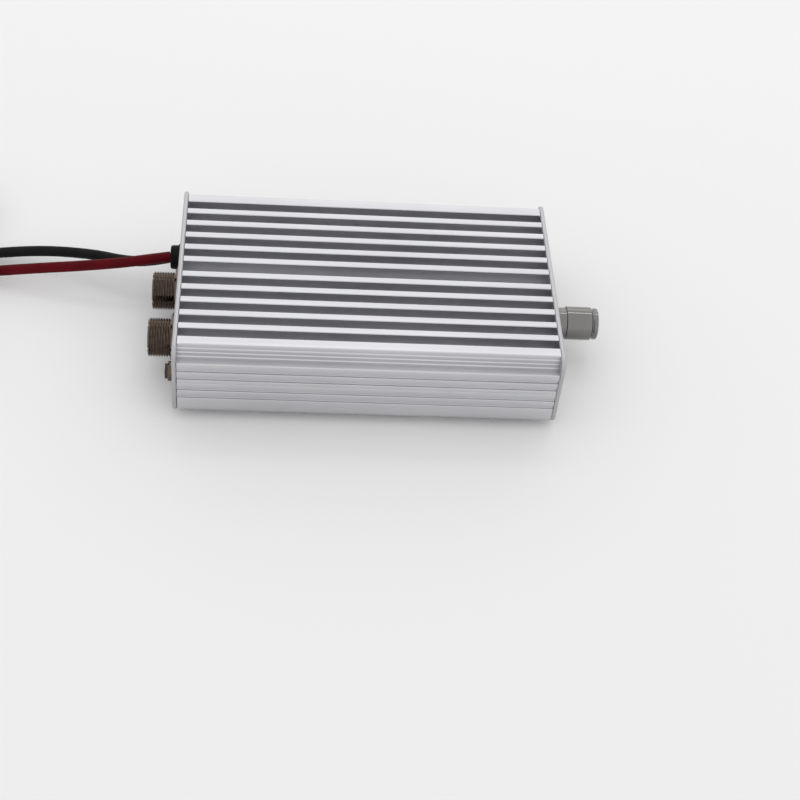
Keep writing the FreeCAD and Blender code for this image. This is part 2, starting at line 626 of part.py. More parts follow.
def socket_insulator(y):
    mouth = SOCKET_REACH - SOCKET_FACE_RECESS
    rear = -(PANEL_THICKNESS + SOCKET_INNER_LENGTH)
    outer = SOCKET_BORE_RADIUS
    profile = [(rear, CONTACT_TAIL_RADIUS), (rear, outer), (mouth, outer), (mouth, CONTACT_RADIUS)]
    back = mouth - CONTACT_BORE_DEPTH - CONTACT_WALL
    profile += [(back, CONTACT_RADIUS), (back, CONTACT_TAIL_RADIUS)]
    return turned(profile, REAR_OUT, y, AXIS_Z, -1)


def socket_contact(y):
    """Split socket tube with a solder tail that reaches over the board's edge."""
    mouth = SOCKET_REACH - SOCKET_FACE_RECESS
    back = mouth - CONTACT_BORE_DEPTH - CONTACT_WALL
    tail = -(PANEL_THICKNESS + SOCKET_INNER_LENGTH + CONTACT_TAIL_LENGTH)
    profile = [(tail, 0), (tail, CONTACT_TAIL_RADIUS), (back, CONTACT_TAIL_RADIUS)]
    profile += [(back, CONTACT_RADIUS), (mouth, CONTACT_RADIUS), (mouth, CONTACT_BORE_RADIUS)]
    profile += [(mouth - CONTACT_BORE_DEPTH, CONTACT_BORE_RADIUS), (mouth - CONTACT_BORE_DEPTH, 0)]
    contact = turned(profile, REAR_OUT, y, AXIS_Z, -1)
    x0 = REAR_OUT - mouth - 1
    x1 = REAR_OUT - mouth + CONTACT_SLOT_DEPTH
    half = CONTACT_SLOT_WIDTH / 2
    reach = CONTACT_RADIUS + 1
    upright = block(x0, x1, y - half, y + half, AXIS_Z - reach, AXIS_Z + reach)
    level = block(x0, x1, y - reach, y + reach, AXIS_Z - half, AXIS_Z + half)
    return contact.cut([upright, level])


def socket_washers():
    rings = []
    x1 = REAR_IN + SOCKET_WASHER_THICKNESS
    bore = SOCKET_BARREL_RADIUS + THREAD_CLEARANCE
    for y in SOCKET_Y:
        ring = rod(REAR_IN, x1, y, AXIS_Z, SOCKET_NUT_FLATS / 2)
        rings.append(ring.cut(rod(REAR_IN - 1, x1 + 1, y, AXIS_Z, bore)))
    return group(rings)


def socket_nuts():
    """Nuts inside the case, each with a flat up and a flat down."""
    x0 = REAR_IN + SOCKET_WASHER_THICKNESS
    x1 = x0 + SOCKET_NUT_THICKNESS
    bore = SOCKET_BARREL_RADIUS + THREAD_CLEARANCE
    return group([hex_nut(x0, x1, y, AXIS_Z, SOCKET_NUT_FLATS, bore, 0) for y in SOCKET_Y])


# ---- keying jack ----
def jack_body():
    half = JACK_BODY_SIZE / 2
    rear, mouth = REAR_IN + JACK_BODY_LENGTH, REAR_OUT - JACK_REACH
    body = block(REAR_IN, rear, JACK_Y - half, JACK_Y + half, AXIS_Z - half, AXIS_Z + half)
    body = body.fuse(rod(mouth, REAR_IN + 1, JACK_Y, AXIS_Z, JACK_THREAD_RADIUS))
    bore = rod(mouth - 1, mouth + JACK_BORE_DEPTH, JACK_Y, AXIS_Z, JACK_BORE_RADIUS)
    return body.cut(bore).removeSplitter()


def jack_nut():
    """Round nut with two spanner slots."""
    x0 = REAR_OUT - JACK_NUT_THICKNESS
    nut = rod(x0, REAR_OUT, JACK_Y, AXIS_Z, JACK_NUT_RADIUS)
    nut = nut.cut(rod(x0 - 1, REAR_OUT + 1, JACK_Y, AXIS_Z, JACK_THREAD_RADIUS + THREAD_CLEARANCE))
    half, reach = JACK_SLOT_WIDTH / 2, JACK_NUT_RADIUS + 1
    x1 = x0 + JACK_SLOT_DEPTH
    return nut.cut(block(x0 - 1, x1, JACK_Y - half, JACK_Y + half, AXIS_Z - reach, AXIS_Z + reach))


# ---- cable gland and leads ----
def lead_exits():
    """(y, z) of the two leads in the gland: red, then black."""
    return {
        "red": (GLAND_Y - LEAD_SPLIT_Y, AXIS_Z + LEAD_SPLIT_Z),
        "black": (GLAND_Y + LEAD_SPLIT_Y, AXIS_Z - LEAD_SPLIT_Z),
    }


def cable_gland():
    inner = -(PANEL_THICKNESS + GLAND_INNER_LENGTH)
    neck = GLAND_NECK_RADIUS
    flange = GLAND_FLANGE_RADIUS
    profile = [(inner, 0), (inner, flange), (-PANEL_THICKNESS, flange), (-PANEL_THICKNESS, neck)]
    profile += [(0, neck), (0, flange), (GLAND_FLANGE_THICKNESS, flange)]
    profile += [(GLAND_FLANGE_THICKNESS, neck), (GLAND_REACH, GLAND_TIP_RADIUS), (GLAND_REACH, 0)]
    return turned(profile, REAR_OUT, GLAND_Y, AXIS_Z, -1)


def inner_leads():
    """The leads between the gland and the board's edge."""
    start = REAR_IN + GLAND_INNER_LENGTH
    end = BOARD_REAR - INNER_LEAD_GAP
    return group([rod(start, end, y, z, LEAD_DIAMETER / 2) for y, z in lead_exits().values()])


def route_wire(points):
    """Straight runs joined by tangent arcs; each arc takes its share of the shorter run beside it."""
    edges = []
    start = points[0]
    for before, corner, after in zip(points, points[1:], points[2:]):
        back, ahead = before.sub(corner), after.sub(corner)
        short = min(back.Length, ahead.Length)
        turn = math.pi - back.getAngle(ahead)
        cut = ARC_SHARE * short
        back.normalize()
        ahead.normalize()
        enter, leave = corner + back * cut, corner + ahead * cut
        radius = cut / math.tan(turn / 2)
        inward = (back + ahead).normalize()
        middle = corner + inward * (radius / math.cos(turn / 2) - radius)
        edges += [Part.LineSegment(start, enter).toShape(), Part.Arc(enter, middle, leave).toShape()]
        start = leave
    edges.append(Part.LineSegment(start, points[-1]).toShape())
    return Part.Wire(edges)


def lead_tube(points):
    wire = route_wire(points)
    profile = Part.Wire(Part.Circle(points[0], points[1].sub(points[0]), LEAD_DIAMETER / 2).toShape())
    return wire.makePipeShell([profile], True, False)


def lead_route(colour, points, coil_y, heading):
    """From the gland's end to the near side of the lead's coil, which continues it."""
    y, z = lead_exits()[colour]
    route = [vec(REAR_OUT - GLAND_REACH, y, z), vec(REAR_OUT - LEAD_STRAIGHT, y, z)]
    for behind, beside, height in points:
        route.append(vec(REAR_OUT - behind, GLAND_Y + beside, height))
    route.append(vec(COIL_X, coil_y - heading * COIL_MEAN_RADIUS, LEAD_REST))
    return route


def coil(y):
    ring = post(COIL_X, y, 0, COIL_HEIGHT, COIL_MEAN_RADIUS + COIL_WIDTH / 2)
    return ring.cut(post(COIL_X, y, -1, COIL_HEIGHT + 1, COIL_MEAN_RADIUS - COIL_WIDTH / 2))


def tail_route(coil_y, heading):
    """From the coil's far side to the terminal's sleeve, along the surface."""
    x = COIL_X - COIL_MEAN_RADIUS
    return [vec(x - out, coil_y + heading * along, LEAD_REST) for out, along in TAIL_ROUTE]


def terminal_frame(coil_y, heading):
    """Start and direction of the sleeve at the end of a lead's tail."""
    points = tail_route(coil_y, heading)
    direction = points[-1].sub(points[-2])
    direction.normalize()
    return points[-1], direction


def sleeve(coil_y, heading):
    start, direction = terminal_frame(coil_y, heading)
    lift = vec(0, 0, SLEEVE_RADIUS - LEAD_REST)
    return Part.makeCylinder(SLEEVE_RADIUS, SLEEVE_LENGTH, start + lift, direction)


def terminal(coil_y, heading):
    """Flat ring tongue that runs out of the sleeve; built along +X, then turned into place."""
    start, direction = terminal_frame(coil_y, heading)
    low = -TERMINAL_THICKNESS / 2
    half = TERMINAL_NECK_WIDTH / 2
    neck = block(0, TERMINAL_REACH, -half, half, low, -low)
    ring = post(TERMINAL_REACH, 0, low, -low, TERMINAL_RING_RADIUS)
    tongue = neck.fuse(ring).cut(post(TERMINAL_REACH, 0, low - 1, 1 - low, TERMINAL_HOLE_RADIUS))
    tongue = tongue.removeSplitter()
    tongue.rotate(vec(0, 0, 0), vec(0, 0, 1), math.degrees(math.atan2(direction.y, direction.x)))
    tongue.translate(start + direction * SLEEVE_LENGTH + vec(0, 0, SLEEVE_RADIUS - LEAD_REST))
    return tongue


# ---- band switch and knob ----
def band_knob():
    x0 = FRONT_OUT + KNOB_GAP
    neck, radius, rim = KNOB_NECK_RADIUS, KNOB_RADIUS, KNOB_RADIUS - KNOB_RIM_STEP
    chamfer, length = KNOB_EDGE_CHAMFER, KNOB_LENGTH
    profile = [(0, 0), (0, neck), (KNOB_NECK_LENGTH, neck), (KNOB_NECK_LENGTH, radius)]
    profile += [(length - KNOB_RIM_WIDTH, radius), (length - KNOB_RIM_WIDTH, rim)]
    profile += [(length - chamfer, rim), (length, rim - chamfer), (length, rim - 2 * chamfer)]
    profile += [(length - KNOB_FACE_DISH, rim - 2 * chamfer - KNOB_FACE_DISH), (length - KNOB_FACE_DISH, 0)]
    knob = turned(profile, x0, KNOB_Y, AXIS_Z, 1)
    bore = rod(x0 - 1, x0 + KNOB_BORE_DEPTH, KNOB_Y, AXIS_Z, SHAFT_RADIUS + SHAFT_FIT)
    flat_top = AXIS_Z - SHAFT_RADIUS + SHAFT_FLAT_DEPTH - SHAFT_FIT
    keep = (x0 + KNOB_NECK_LENGTH, x0 + length, KNOB_Y - radius, KNOB_Y + radius)
    bore = bore.cut(block(*keep, AXIS_Z - radius, flat_top))
    hole_radius = SET_SCREW_RADIUS + THREAD_CLEARANCE
    hole = post(x0 + KNOB_NECK_LENGTH / 2, KNOB_Y, AXIS_Z - radius, AXIS_Z, hole_radius)
    half = KNOB_POINTER_WIDTH / 2
    face = x0 + length - KNOB_FACE_DISH
    top = AXIS_Z + rim - 2 * chamfer - KNOB_FACE_DISH
    low = top - KNOB_POINTER_LENGTH
    pointer = block(face - KNOB_POINTER_DEPTH, face + 1, KNOB_Y - half, KNOB_Y + half, low, top)
    return knob.cut([bore, hole, pointer])


def knob_set_screw():
    x = FRONT_OUT + KNOB_GAP + KNOB_NECK_LENGTH / 2
    top = AXIS_Z - SHAFT_RADIUS + SHAFT_FLAT_DEPTH
    low = AXIS_Z - KNOB_NECK_RADIUS + SET_SCREW_INSET
    recess = post(x, KNOB_Y, low - 1, low + SET_SCREW_RECESS, SET_SCREW_RADIUS / 2)
    return post(x, KNOB_Y, low, top, SET_SCREW_RADIUS).cut(recess)


def switch_front():
    return FRONT_IN - SWITCH_HOUSING_LENGTH


def deck_front():
    return switch_front() - SWITCH_DECK_GAP


def switch_shaft():
    rear = deck_front() - SWITCH_DECK_THICKNESS - SHAFT_TAIL
    front = FRONT_OUT + KNOB_GAP + KNOB_BORE_DEPTH - KNOB_BORE_SPARE
    shaft = rod(rear, front, KNOB_Y, AXIS_Z, SHAFT_RADIUS)
    flat_top = AXIS_Z - SHAFT_RADIUS + SHAFT_FLAT_DEPTH
    reach = 2 * SHAFT_RADIUS
    flat = (FRONT_OUT + KNOB_GAP, front + 1, KNOB_Y - reach, KNOB_Y + reach, AXIS_Z - reach, flat_top)
    return shaft.cut(block(*flat))


def switch_housing():
    """Detent housing behind the panel with the threaded bushing that carries the shaft."""
    half = SWITCH_WIDTH / 2
    y, z = KNOB_Y, AXIS_Z
    housing = block(switch_front(), FRONT_IN, y - half, y + half, z - half, z + half)
    edges = [e for e in housing.Edges if e.BoundBox.XLength > 1]
    housing = housing.makeFillet(SWITCH_CORNER_RADIUS, edges)
    end = FRONT_OUT + BUSHING_WASHER_THICKNESS + BUSHING_NUT_THICKNESS
    housing = housing.fuse(rod(FRONT_IN - 1, end, y, z, BUSHING_RADIUS))
    return housing.cut(rod(switch_front() - 1, end + 1, y, z, SHAFT_RADIUS + BEARING_FIT)).removeSplitter()


def bushing_washer():
    x1 = FRONT_OUT + BUSHING_WASHER_THICKNESS
    ring = rod(FRONT_OUT, x1, KNOB_Y, AXIS_Z, BUSHING_NUT_FLATS / 2 + 0.8)
    return ring.cut(rod(FRONT_OUT - 1, x1 + 1, KNOB_Y, AXIS_Z, BUSHING_RADIUS + THREAD_CLEARANCE))


def bushing_nut():
    x0 = FRONT_OUT + BUSHING_WASHER_THICKNESS
    x1 = x0 + BUSHING_NUT_THICKNESS
    return hex_nut(x0, x1, KNOB_Y, AXIS_Z, BUSHING_NUT_FLATS, BUSHING_RADIUS + THREAD_CLEARANCE)


def switch_deck():
    """Fixed contact wafer behind the housing, with its two spacers."""
    x1 = deck_front()
    x0 = x1 - SWITCH_DECK_THICKNESS
    deck = rod(x0, x1, KNOB_Y, AXIS_Z, SWITCH_DECK_RADIUS)
    deck = deck.cut(rod(x0 - 1, x1 + 1, KNOB_Y, AXIS_Z, SWITCH_ROTOR_RADIUS + SWITCH_ROTOR_GAP))
    offset = SWITCH_ROTOR_RADIUS + SWITCH_SPACER_GAP + SWITCH_SPACER_RADIUS
    for side in (1, -1):
        spacer = rod(x0, switch_front(), KNOB_Y + side * offset, AXIS_Z, SWITCH_SPACER_RADIUS)
        deck = deck.fuse(spacer)
    return deck.removeSplitter()


def switch_contacts():
    """Solder lugs round the wafer."""
    rear = deck_front() - SWITCH_DECK_THICKNESS
    y0 = KNOB_Y - SWITCH_CONTACT_WIDTH / 2
    z0 = AXIS_Z + SWITCH_ROTOR_RADIUS + SWITCH_CONTACT_OFFSET
    z1 = z0 + SWITCH_CONTACT_THICKNESS
    lug = block(rear - SWITCH_CONTACT_LENGTH, rear, y0, y0 + SWITCH_CONTACT_WIDTH, z0, z1)
    return group(spun(lug, SWITCH_CONTACTS, KNOB_Y, AXIS_Z))


def switch_rotor():
    """Rotor of the wafer, keyed on the shaft."""
    x1 = deck_front()
    x0 = x1 - SWITCH_DECK_THICKNESS
    rotor = rod(x0, x1, KNOB_Y, AXIS_Z, SWITCH_ROTOR_RADIUS)
    return rotor.cut(rod(x0 - 1, x1 + 1, KNOB_Y, AXIS_Z, SHAFT_RADIUS))


def detent_wheel():
    """Notched wheel on the shaft behind the housing; its notches hold the band positions."""
    x1 = switch_front() - DETENT_WHEEL_GAP
    x0 = x1 - DETENT_WHEEL_THICKNESS
    wheel = rod(x0, x1, KNOB_Y, AXIS_Z, SWITCH_ROTOR_RADIUS)
    notch = rod(x0 - 1, x1 + 1, KNOB_Y, AXIS_Z + SWITCH_ROTOR_RADIUS, DETENT_RADIUS)
    bore = rod(x0 - 1, x1 + 1, KNOB_Y, AXIS_Z, SHAFT_RADIUS)
    return wheel.cut([bore] + spun(notch, DETENT_COUNT, KNOB_Y, AXIS_Z))


# ---- power rocker ----
def rocker_pivot():
    return FRONT_OUT + ROCKER_BEZEL_THICKNESS - ROCKER_PIVOT_DEPTH, AXIS_Z


def rocker_housing():
    """Snap-in housing: bezel outside, hollow body through the panel, two tabs behind."""
    y, z = ROCKER_Y, AXIS_Z
    half_y, half_z = ROCKER_BODY_WIDTH / 2, ROCKER_BODY_HEIGHT / 2
    rear = FRONT_OUT - ROCKER_BODY_LENGTH
    bezel_y, bezel_z = ROCKER_BEZEL_WIDTH / 2, ROCKER_BEZEL_HEIGHT / 2
    face = FRONT_OUT + ROCKER_BEZEL_THICKNESS
    bezel = block(FRONT_OUT, face, y - bezel_y, y + bezel_y, z - bezel_z, z + bezel_z)
    edges = [e for e in bezel.Edges if e.BoundBox.XMin > face - 0.01]
    bezel = bezel.makeChamfer(ROCKER_BEZEL_CHAMFER, edges)
    body = bezel.fuse(block(rear, FRONT_OUT, y - half_y, y + half_y, z - half_z, z + half_z))
    wall = ROCKER_WALL
    well_y, well_z = half_y - wall, half_z - wall
    body = body.cut(block(rear + ROCKER_BACK_WALL, face + 1, y - well_y, y + well_y, z - well_z, z + well_z))
    px, pz = rocker_pivot()
    for side in (1, -1):
        place = vec(px, y + side * well_y, pz)
        reach = wall * ROCKER_PIN_SHARE
        body = body.fuse(Part.makeCylinder(ROCKER_PIVOT_RADIUS, reach, place, vec(0, -side, 0)))
    tab_y, tab_half = ROCKER_TAB_WIDTH / 2, ROCKER_TAB_THICKNESS / 2
    for k in range(ROCKER_TABS):
        tab_z = z + (k - (ROCKER_TABS - 1) / 2) * ROCKER_TAB_PITCH
        tab = (rear - ROCKER_TAB_LENGTH, rear, y - tab_y, y + tab_y, tab_z - tab_half, tab_z + tab_half)
        body = body.fuse(block(*tab))
    return body.removeSplitter()


def power_rocker():
    """Shallow V rocker face on a curved underside that turns about the housing's pins."""
    px, pz = rocker_pivot()
    half_y = ROCKER_BODY_WIDTH / 2 - ROCKER_WALL - ROCKER_CLEARANCE
    reach = ROCKER_BODY_HEIGHT / 2 - ROCKER_WALL - ROCKER_END_GAP
    face = FRONT_OUT + ROCKER_BEZEL_THICKNESS
    middle = face + ROCKER_RISE
    crest = middle + reach * math.tan(math.radians(ROCKER_TILT))
    back = px - ROCKER_DEPTH
    flat = reach * ROCKER_BACK_SHARE
    upper = [(crest, reach), (crest - ROCKER_EDGE, reach), (px + ROCKER_SKIRT, reach), (back, flat)]
    points = [(middle, 0)] + upper + [(x, -dz) for x, dz in reversed(upper)]
    outline = [vec(x, ROCKER_Y - half_y, pz + dz) for x, dz in points]
    wire = Part.makePolygon(outline + outline[:1])
    rocker = Part.Face(wire).extrude(vec(0, 2 * half_y, 0))
    start = vec(px, ROCKER_Y - half_y - 1, pz)
    hub = Part.makeCylinder(ROCKER_PIVOT_RADIUS + BEARING_FIT, 2 * half_y + 2, start, vec(0, 1, 0))
    return rocker.cut(hub)


# ---- indicator lamps ----
def indicator_lamps():
    lamps = []
    for z in lamp_heights():
        length = LAMP_LENGTH - LAMP_RADIUS
        start = FRONT_OUT + LAMP_REACH - LAMP_RADIUS
        bulb = rod(start - length, start, LAMP_Y, z, LAMP_RADIUS)
        dome = Part.makeSphere(LAMP_RADIUS, vec(start, LAMP_Y, z))
        half = LAMP_LEG_WIDTH / 2
        end = start - length - LAMP_LEG_LENGTH
        legs = []
        for side in (1, -1):
            y = LAMP_Y + side * LAMP_LEG_PITCH / 2
            legs.append(block(end, start - length, y - half, y + half, z - half, z + half))
        lamps.append(bulb.fuse([dome] + legs).removeSplitter())
    return group(lamps)


def lamp_collars():
    collars = []
    rear = FRONT_IN - LAMP_COLLAR_LENGTH
    for z in lamp_heights():
        ring = rod(rear, FRONT_IN, LAMP_Y, z, LAMP_COLLAR_RADIUS)
        collars.append(ring.cut(rod(rear - 1, FRONT_IN + 1, LAMP_Y, z, LAMP_RADIUS + THREAD_CLEARANCE)))
    return group(collars)


# ---- electronics ----
def main_board():
    """Board with its screw holes, and openings through which the transistors' screws are reached."""
    board = block(BOARD_REAR, BOARD_FRONT, -BOARD_HALF, BOARD_HALF, BOARD_LOW, BOARD_TOP)
    low, high = BOARD_LOW - 1, BOARD_TOP + 1
    cuts = [post(x, y, low, high, SCREW_RADIUS + SCREW_CLEARANCE) for x, y in standoff_places()]
    cuts += [post(x, y, low, high, PAN_HEAD_RADIUS + 1) for x, y in transistor_screw_places()]
    return board.cut(cuts)


def board_standoffs():
    tubes = []
    for x, y in standoff_places():
        tube = post(x, y, BOARD_TOP, ROOF, STANDOFF_RADIUS)
        tubes.append(tube.cut(post(x, y, BOARD_TOP - 1, ROOF + 1, SCREW_RADIUS + SCREW_CLEARANCE)))
    return group(tubes)


def upward_screw(x, y, head_top, tip):
    """Pan-head screw that points up, its head under head_top."""
    screw = post(x, y, head_top - PAN_HEAD_HEIGHT, head_top, PAN_HEAD_RADIUS)
    screw = screw.fuse(post(x, y, head_top - HEAD_OVERLAP, tip, SCREW_RADIUS))
    low = head_top - PAN_HEAD_HEIGHT
    return screw.cut(post(x, y, low - 1, low + RECESS_DEPTH, RECESS_RADIUS)).removeSplitter()


def board_screws():
    tip = ROOF + STANDOFF_SCREW_DEPTH
    return group([upward_screw(x, y, BOARD_LOW, tip) for x, y in standoff_places()])


def transistor_pads():
    length, width, _ = TRANSISTOR_PACKAGE
    pads = []
    x0 = TRANSISTOR_X - length / 2 - TRANSISTOR_PAD_MARGIN
    x1 = TRANSISTOR_X + length / 2 + TRANSISTOR_TAB_LENGTH + TRANSISTOR_PAD_MARGIN
    half = width / 2 + TRANSISTOR_PAD_MARGIN
    for x, y in transistor_screw_places():
        pad = block(x0, x1, y - half, y + half, ROOF - TRANSISTOR_PAD_THICKNESS, ROOF)
        pads.append(pad.cut(post(x, y, ROOF - 1, ROOF + 1, SCREW_RADIUS + SCREW_CLEARANCE)))
    return group(pads)


def transistor_leg(x, y, top):
    """Leg that leaves the package level and bends down to the board."""
    thick = TRANSISTOR_LEG_THICKNESS
    outer = x - TRANSISTOR_LEG_REACH
    points = [(x, top), (outer, top), (outer, BOARD_TOP), (outer + thick, BOARD_TOP)]
    points += [(outer + thick, top - thick), (x, top - thick)]
    low_y = y - TRANSISTOR_LEG_WIDTH / 2
    wire = Part.makePolygon([vec(px, low_y, pz) for px, pz in points + points[:1]])
    return Part.Face(wire).extrude(vec(0, TRANSISTOR_LEG_WIDTH, 0))


def power_transistors():
    length, width, height = TRANSISTOR_PACKAGE
    top = ROOF - TRANSISTOR_PAD_THICKNESS
    x0, x1 = TRANSISTOR_X - length / 2, TRANSISTOR_X + length / 2
    tab_end, tab_low = x1 + TRANSISTOR_TAB_LENGTH, top - TRANSISTOR_TAB_THICKNESS
    shapes = []
    for hole_x, y in transistor_screw_places():
        body = block(x0, x1, y - width / 2, y + width / 2, top - height, top)
        tab = block(x0, tab_end, y - width / 2, y + width / 2, tab_low, top)
        legs = [transistor_leg(x0, y + k * TRANSISTOR_LEG_PITCH, top - height / 2) for k in (-1, 0, 1)]
        package = body.fuse([tab] + legs)
        hole = post(hole_x, y, top - height, top + 1, SCREW_RADIUS + SCREW_CLEARANCE)
        shapes.append(package.cut(hole).removeSplitter())
    return group(shapes)


def transistor_screws():
    head_top = ROOF - TRANSISTOR_PAD_THICKNESS - TRANSISTOR_TAB_THICKNESS
    tip = ROOF + STANDOFF_SCREW_DEPTH
    return group([upward_screw(x, y, head_top, tip) for x, y in transistor_screw_places()])


def core_holes(core, x):
    length, width, height = core
    mid = BOARD_TOP + height / 2
    return [rod(x - length, x + length, side * width / 4, mid, CORE_HOLE_RADIUS) for side in (1, -1)]


def binocular_core(core, x):
    """Two-hole ferrite block with rounded sides."""
    length, width, height = core
    body = block(x - length / 2, x + length / 2, -width / 2, width / 2, BOARD_TOP, BOARD_TOP + height)
    edges = [e for e in body.Edges if e.BoundBox.XLength > 1]
    return body.makeFillet(height * CORE_ROUNDING, edges).cut(core_holes(core, x))


def core_winding(core, x):
    """Wire bundle in a closed loop through both holes."""
    length, width, height = core
    mid = BOARD_TOP + height / 2
    reach = length / 2 + WINDING_REACH
    loop = [rod(x - reach, x + reach, side * width / 4, mid, WINDING_RADIUS) for side in (1, -1)]
    for end in (1, -1):
        place = vec(x + end * reach, width / 4, mid)
        face = Part.Face(Part.Wire(Part.Circle(place, vec(1, 0, 0), WINDING_RADIUS).toShape()))
        loop.append(face.revolve(vec(x + end * reach, 0, mid), vec(0, 0, -end), 180))
    return loop[0].fuse(loop[1:]).removeSplitter()


def on_board(x, y, length, width, height):
    """Block that stands on the board, with (x, y) at its middle."""
    half_x, half_y = length / 2, width / 2
    return block(x - half_x, x + half_x, y - half_y, y + half_y, BOARD_TOP, BOARD_TOP + height)


def relay_row():
    """Change-over relays beside the sockets that they switch."""
    shapes = []
    for y in SOCKET_Y:
        body = on_board(RELAY_X, y, RELAY_LENGTH, RELAY_WIDTH, RELAY_RISE * BOARD_ROOM)
        top_edges = [e for e in body.Edges if e.BoundBox.ZMin > BOARD_TOP + 1]
        shapes.append(body.makeChamfer(RELAY_CHAMFER, top_edges))
    return group(shapes)


def band_places():
    return [(k - (BAND_COUNT - 1) / 2) * BAND_PITCH for k in range(BAND_COUNT)]


def filter_relays():
    xs = (REAR_RELAY_X, FRONT_RELAY_X)
    return group([on_board(x, y, *BAND_RELAY) for y in band_places() for x in xs])


def filter_cores():
    shapes = []
    low = BOARD_TOP + TOROID_WIRE
    high = low + TOROID_HEIGHT
    for y in band_places():
        ring = post(TOROID_X, y, low, high, TOROID_RADIUS - TOROID_WIRE)
        shapes.append(ring.cut(post(TOROID_X, y, low - 1, high + 1, TOROID_BORE_RADIUS)))
    return group(shapes)


def filter_windings():
    """Wound layer round each ring core, open at the gap between its ends."""
    shapes = []
    x, wire = TOROID_X, TOROID_WIRE
    inner, outer = TOROID_BORE_RADIUS, TOROID_RADIUS - TOROID_WIRE
    low = BOARD_TOP
    high = low + TOROID_HEIGHT + 2 * wire
    skin = [(inner - wire, low), (outer + wire, low), (outer + wire, high), (inner - wire, high)]
    core = [(inner, low + wire), (outer, low + wire), (outer, high - wire), (inner, high - wire)]
    for y in band_places():
        faces = []
        for loop in (skin, core):
            faces.append(Part.Face(Part.makePolygon([vec(x + r, y, z) for r, z in loop + loop[:1]])))
        section = faces[0].cut(faces[1])
        shapes.append(section.revolve(vec(x, y, 0), vec(0, 0, 1), TOROID_WOUND_ANGLE))
    return group(shapes)


def supply_capacitors():
    """Electrolytic cans standing on the board, with the usual rolled groove."""
    cans = []
    low = BOARD_TOP + CAPACITOR_GROOVE_HEIGHT
    high = low + CAPACITOR_GROOVE
    for step, side in CAPACITOR_PLACES:
        x = INPUT_CORE_X + step * CAPACITOR_PITCH
        y = side * (BOARD_HALF - CAPACITOR_INSET)
        can = post(x, y, BOARD_TOP, BOARD_TOP + CAPACITOR_RISE * BOARD_ROOM, CAPACITOR_RADIUS)
        ring = post(x, y, low, high, CAPACITOR_RADIUS + 1)
        ring = ring.cut(post(x, y, low - 1, high + 1, CAPACITOR_RADIUS - CAPACITOR_GROOVE / 2))
        cans.append(can.cut(ring))
    return group(cans)


def main():
    os.makedirs("parts", exist_ok=True)
    save("top_shell", top_shell())
    save("bottom_shell", bottom_shell())
    save("rear_panel", rear_panel())
    save("front_panel", front_panel())
    save("rear_panel_screws", panel_screws(REAR_OUT, -1))
    save("front_panel_screws", panel_screws(FRONT_OUT, 1))
    save("rubber_feet", rubber_feet())
    save("foot_screws", foot_screws())
    for name, y in zip(("antenna", "radio"), SOCKET_Y):
        save(name + "_socket_body", socket_body(y))
        save(name + "_socket_insulator", socket_insulator(y))
        save(name + "_socket_contact", socket_contact(y))
    save("socket_washers", socket_washers())
    save("socket_nuts", socket_nuts())
    save("keying_jack", jack_body())
    save("keying_jack_nut", jack_nut())
    save("cable_gland", cable_gland())
    save("inner_leads", inner_leads())
    leads = (("red", RED_ROUTE, RED_COIL_Y, -1), ("black", BLACK_ROUTE, BLACK_COIL_Y, 1))
    for name, points, y, heading in leads:
        save(name + "_lead", lead_tube(lead_route(name, points, y, heading)))
        save(name + "_lead_coil", coil(y))
        save(name + "_lead_tail", lead_tube(tail_route(y, heading)))
        save(name + "_terminal_sleeve", sleeve(y, heading))
        save(name + "_terminal", terminal(y, heading))
    save("band_knob", band_knob())
    save("knob_set_screw", knob_set_screw())
    save("switch_shaft", switch_shaft())
    save("switch_housing", switch_housing())
    save("bushing_washer", bushing_washer())
    save("bushing_nut", bushing_nut())
    save("switch_deck", switch_deck())
    save("switch_contacts", switch_contacts())
    save("switch_rotor", switch_rotor())
    save("detent_wheel", detent_wheel())
    save("rocker_housing", rocker_housing())
    save("power_rocker", power_rocker())
    save("indicator_lamps", indicator_lamps())
    save("lamp_collars", lamp_collars())
    save("main_board", main_board())
    save("board_standoffs", board_standoffs())
    save("board_screws", board_screws())
    save("transistor_pads", transistor_pads())
    save("power_transistors", power_transistors())
    save("transistor_screws", transistor_screws())
    save("output_core", binocular_core(OUTPUT_CORE, OUTPUT_CORE_X))
    save("output_winding", core_winding(OUTPUT_CORE, OUTPUT_CORE_X))
    save("input_core", binocular_core(INPUT_CORE, INPUT_CORE_X))
    save("input_winding", core_winding(INPUT_CORE, INPUT_CORE_X))
    save("changeover_relays", relay_row())
    save("filter_relays", filter_relays())
    save("filter_cores", filter_cores())
    save("filter_windings", filter_windings())
    save("supply_capacitors", supply_capacitors())


main()
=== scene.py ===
"""HF linear amplifier: the surfaces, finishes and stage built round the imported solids."""

import math

import bmesh
import bpy
import numpy as np
from mathutils import Matrix, Vector


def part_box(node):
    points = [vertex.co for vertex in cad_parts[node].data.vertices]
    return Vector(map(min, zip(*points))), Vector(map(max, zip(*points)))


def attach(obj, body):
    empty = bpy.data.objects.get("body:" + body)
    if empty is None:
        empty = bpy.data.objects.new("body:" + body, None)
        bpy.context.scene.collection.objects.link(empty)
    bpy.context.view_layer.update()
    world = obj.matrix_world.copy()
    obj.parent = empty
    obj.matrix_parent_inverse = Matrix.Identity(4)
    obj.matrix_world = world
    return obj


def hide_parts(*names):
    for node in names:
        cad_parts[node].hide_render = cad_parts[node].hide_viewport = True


bl_info = {
    "name": "HF linear amplifier",
    "version": (1, 0, 0),
    "blender": (4, 5, 0),
    "location": "View3D > Sidebar > Amplifier",
    "description": "Builds a finned radio amplifier with its knob, sockets and supply leads",
    "category": "Add Mesh",
}

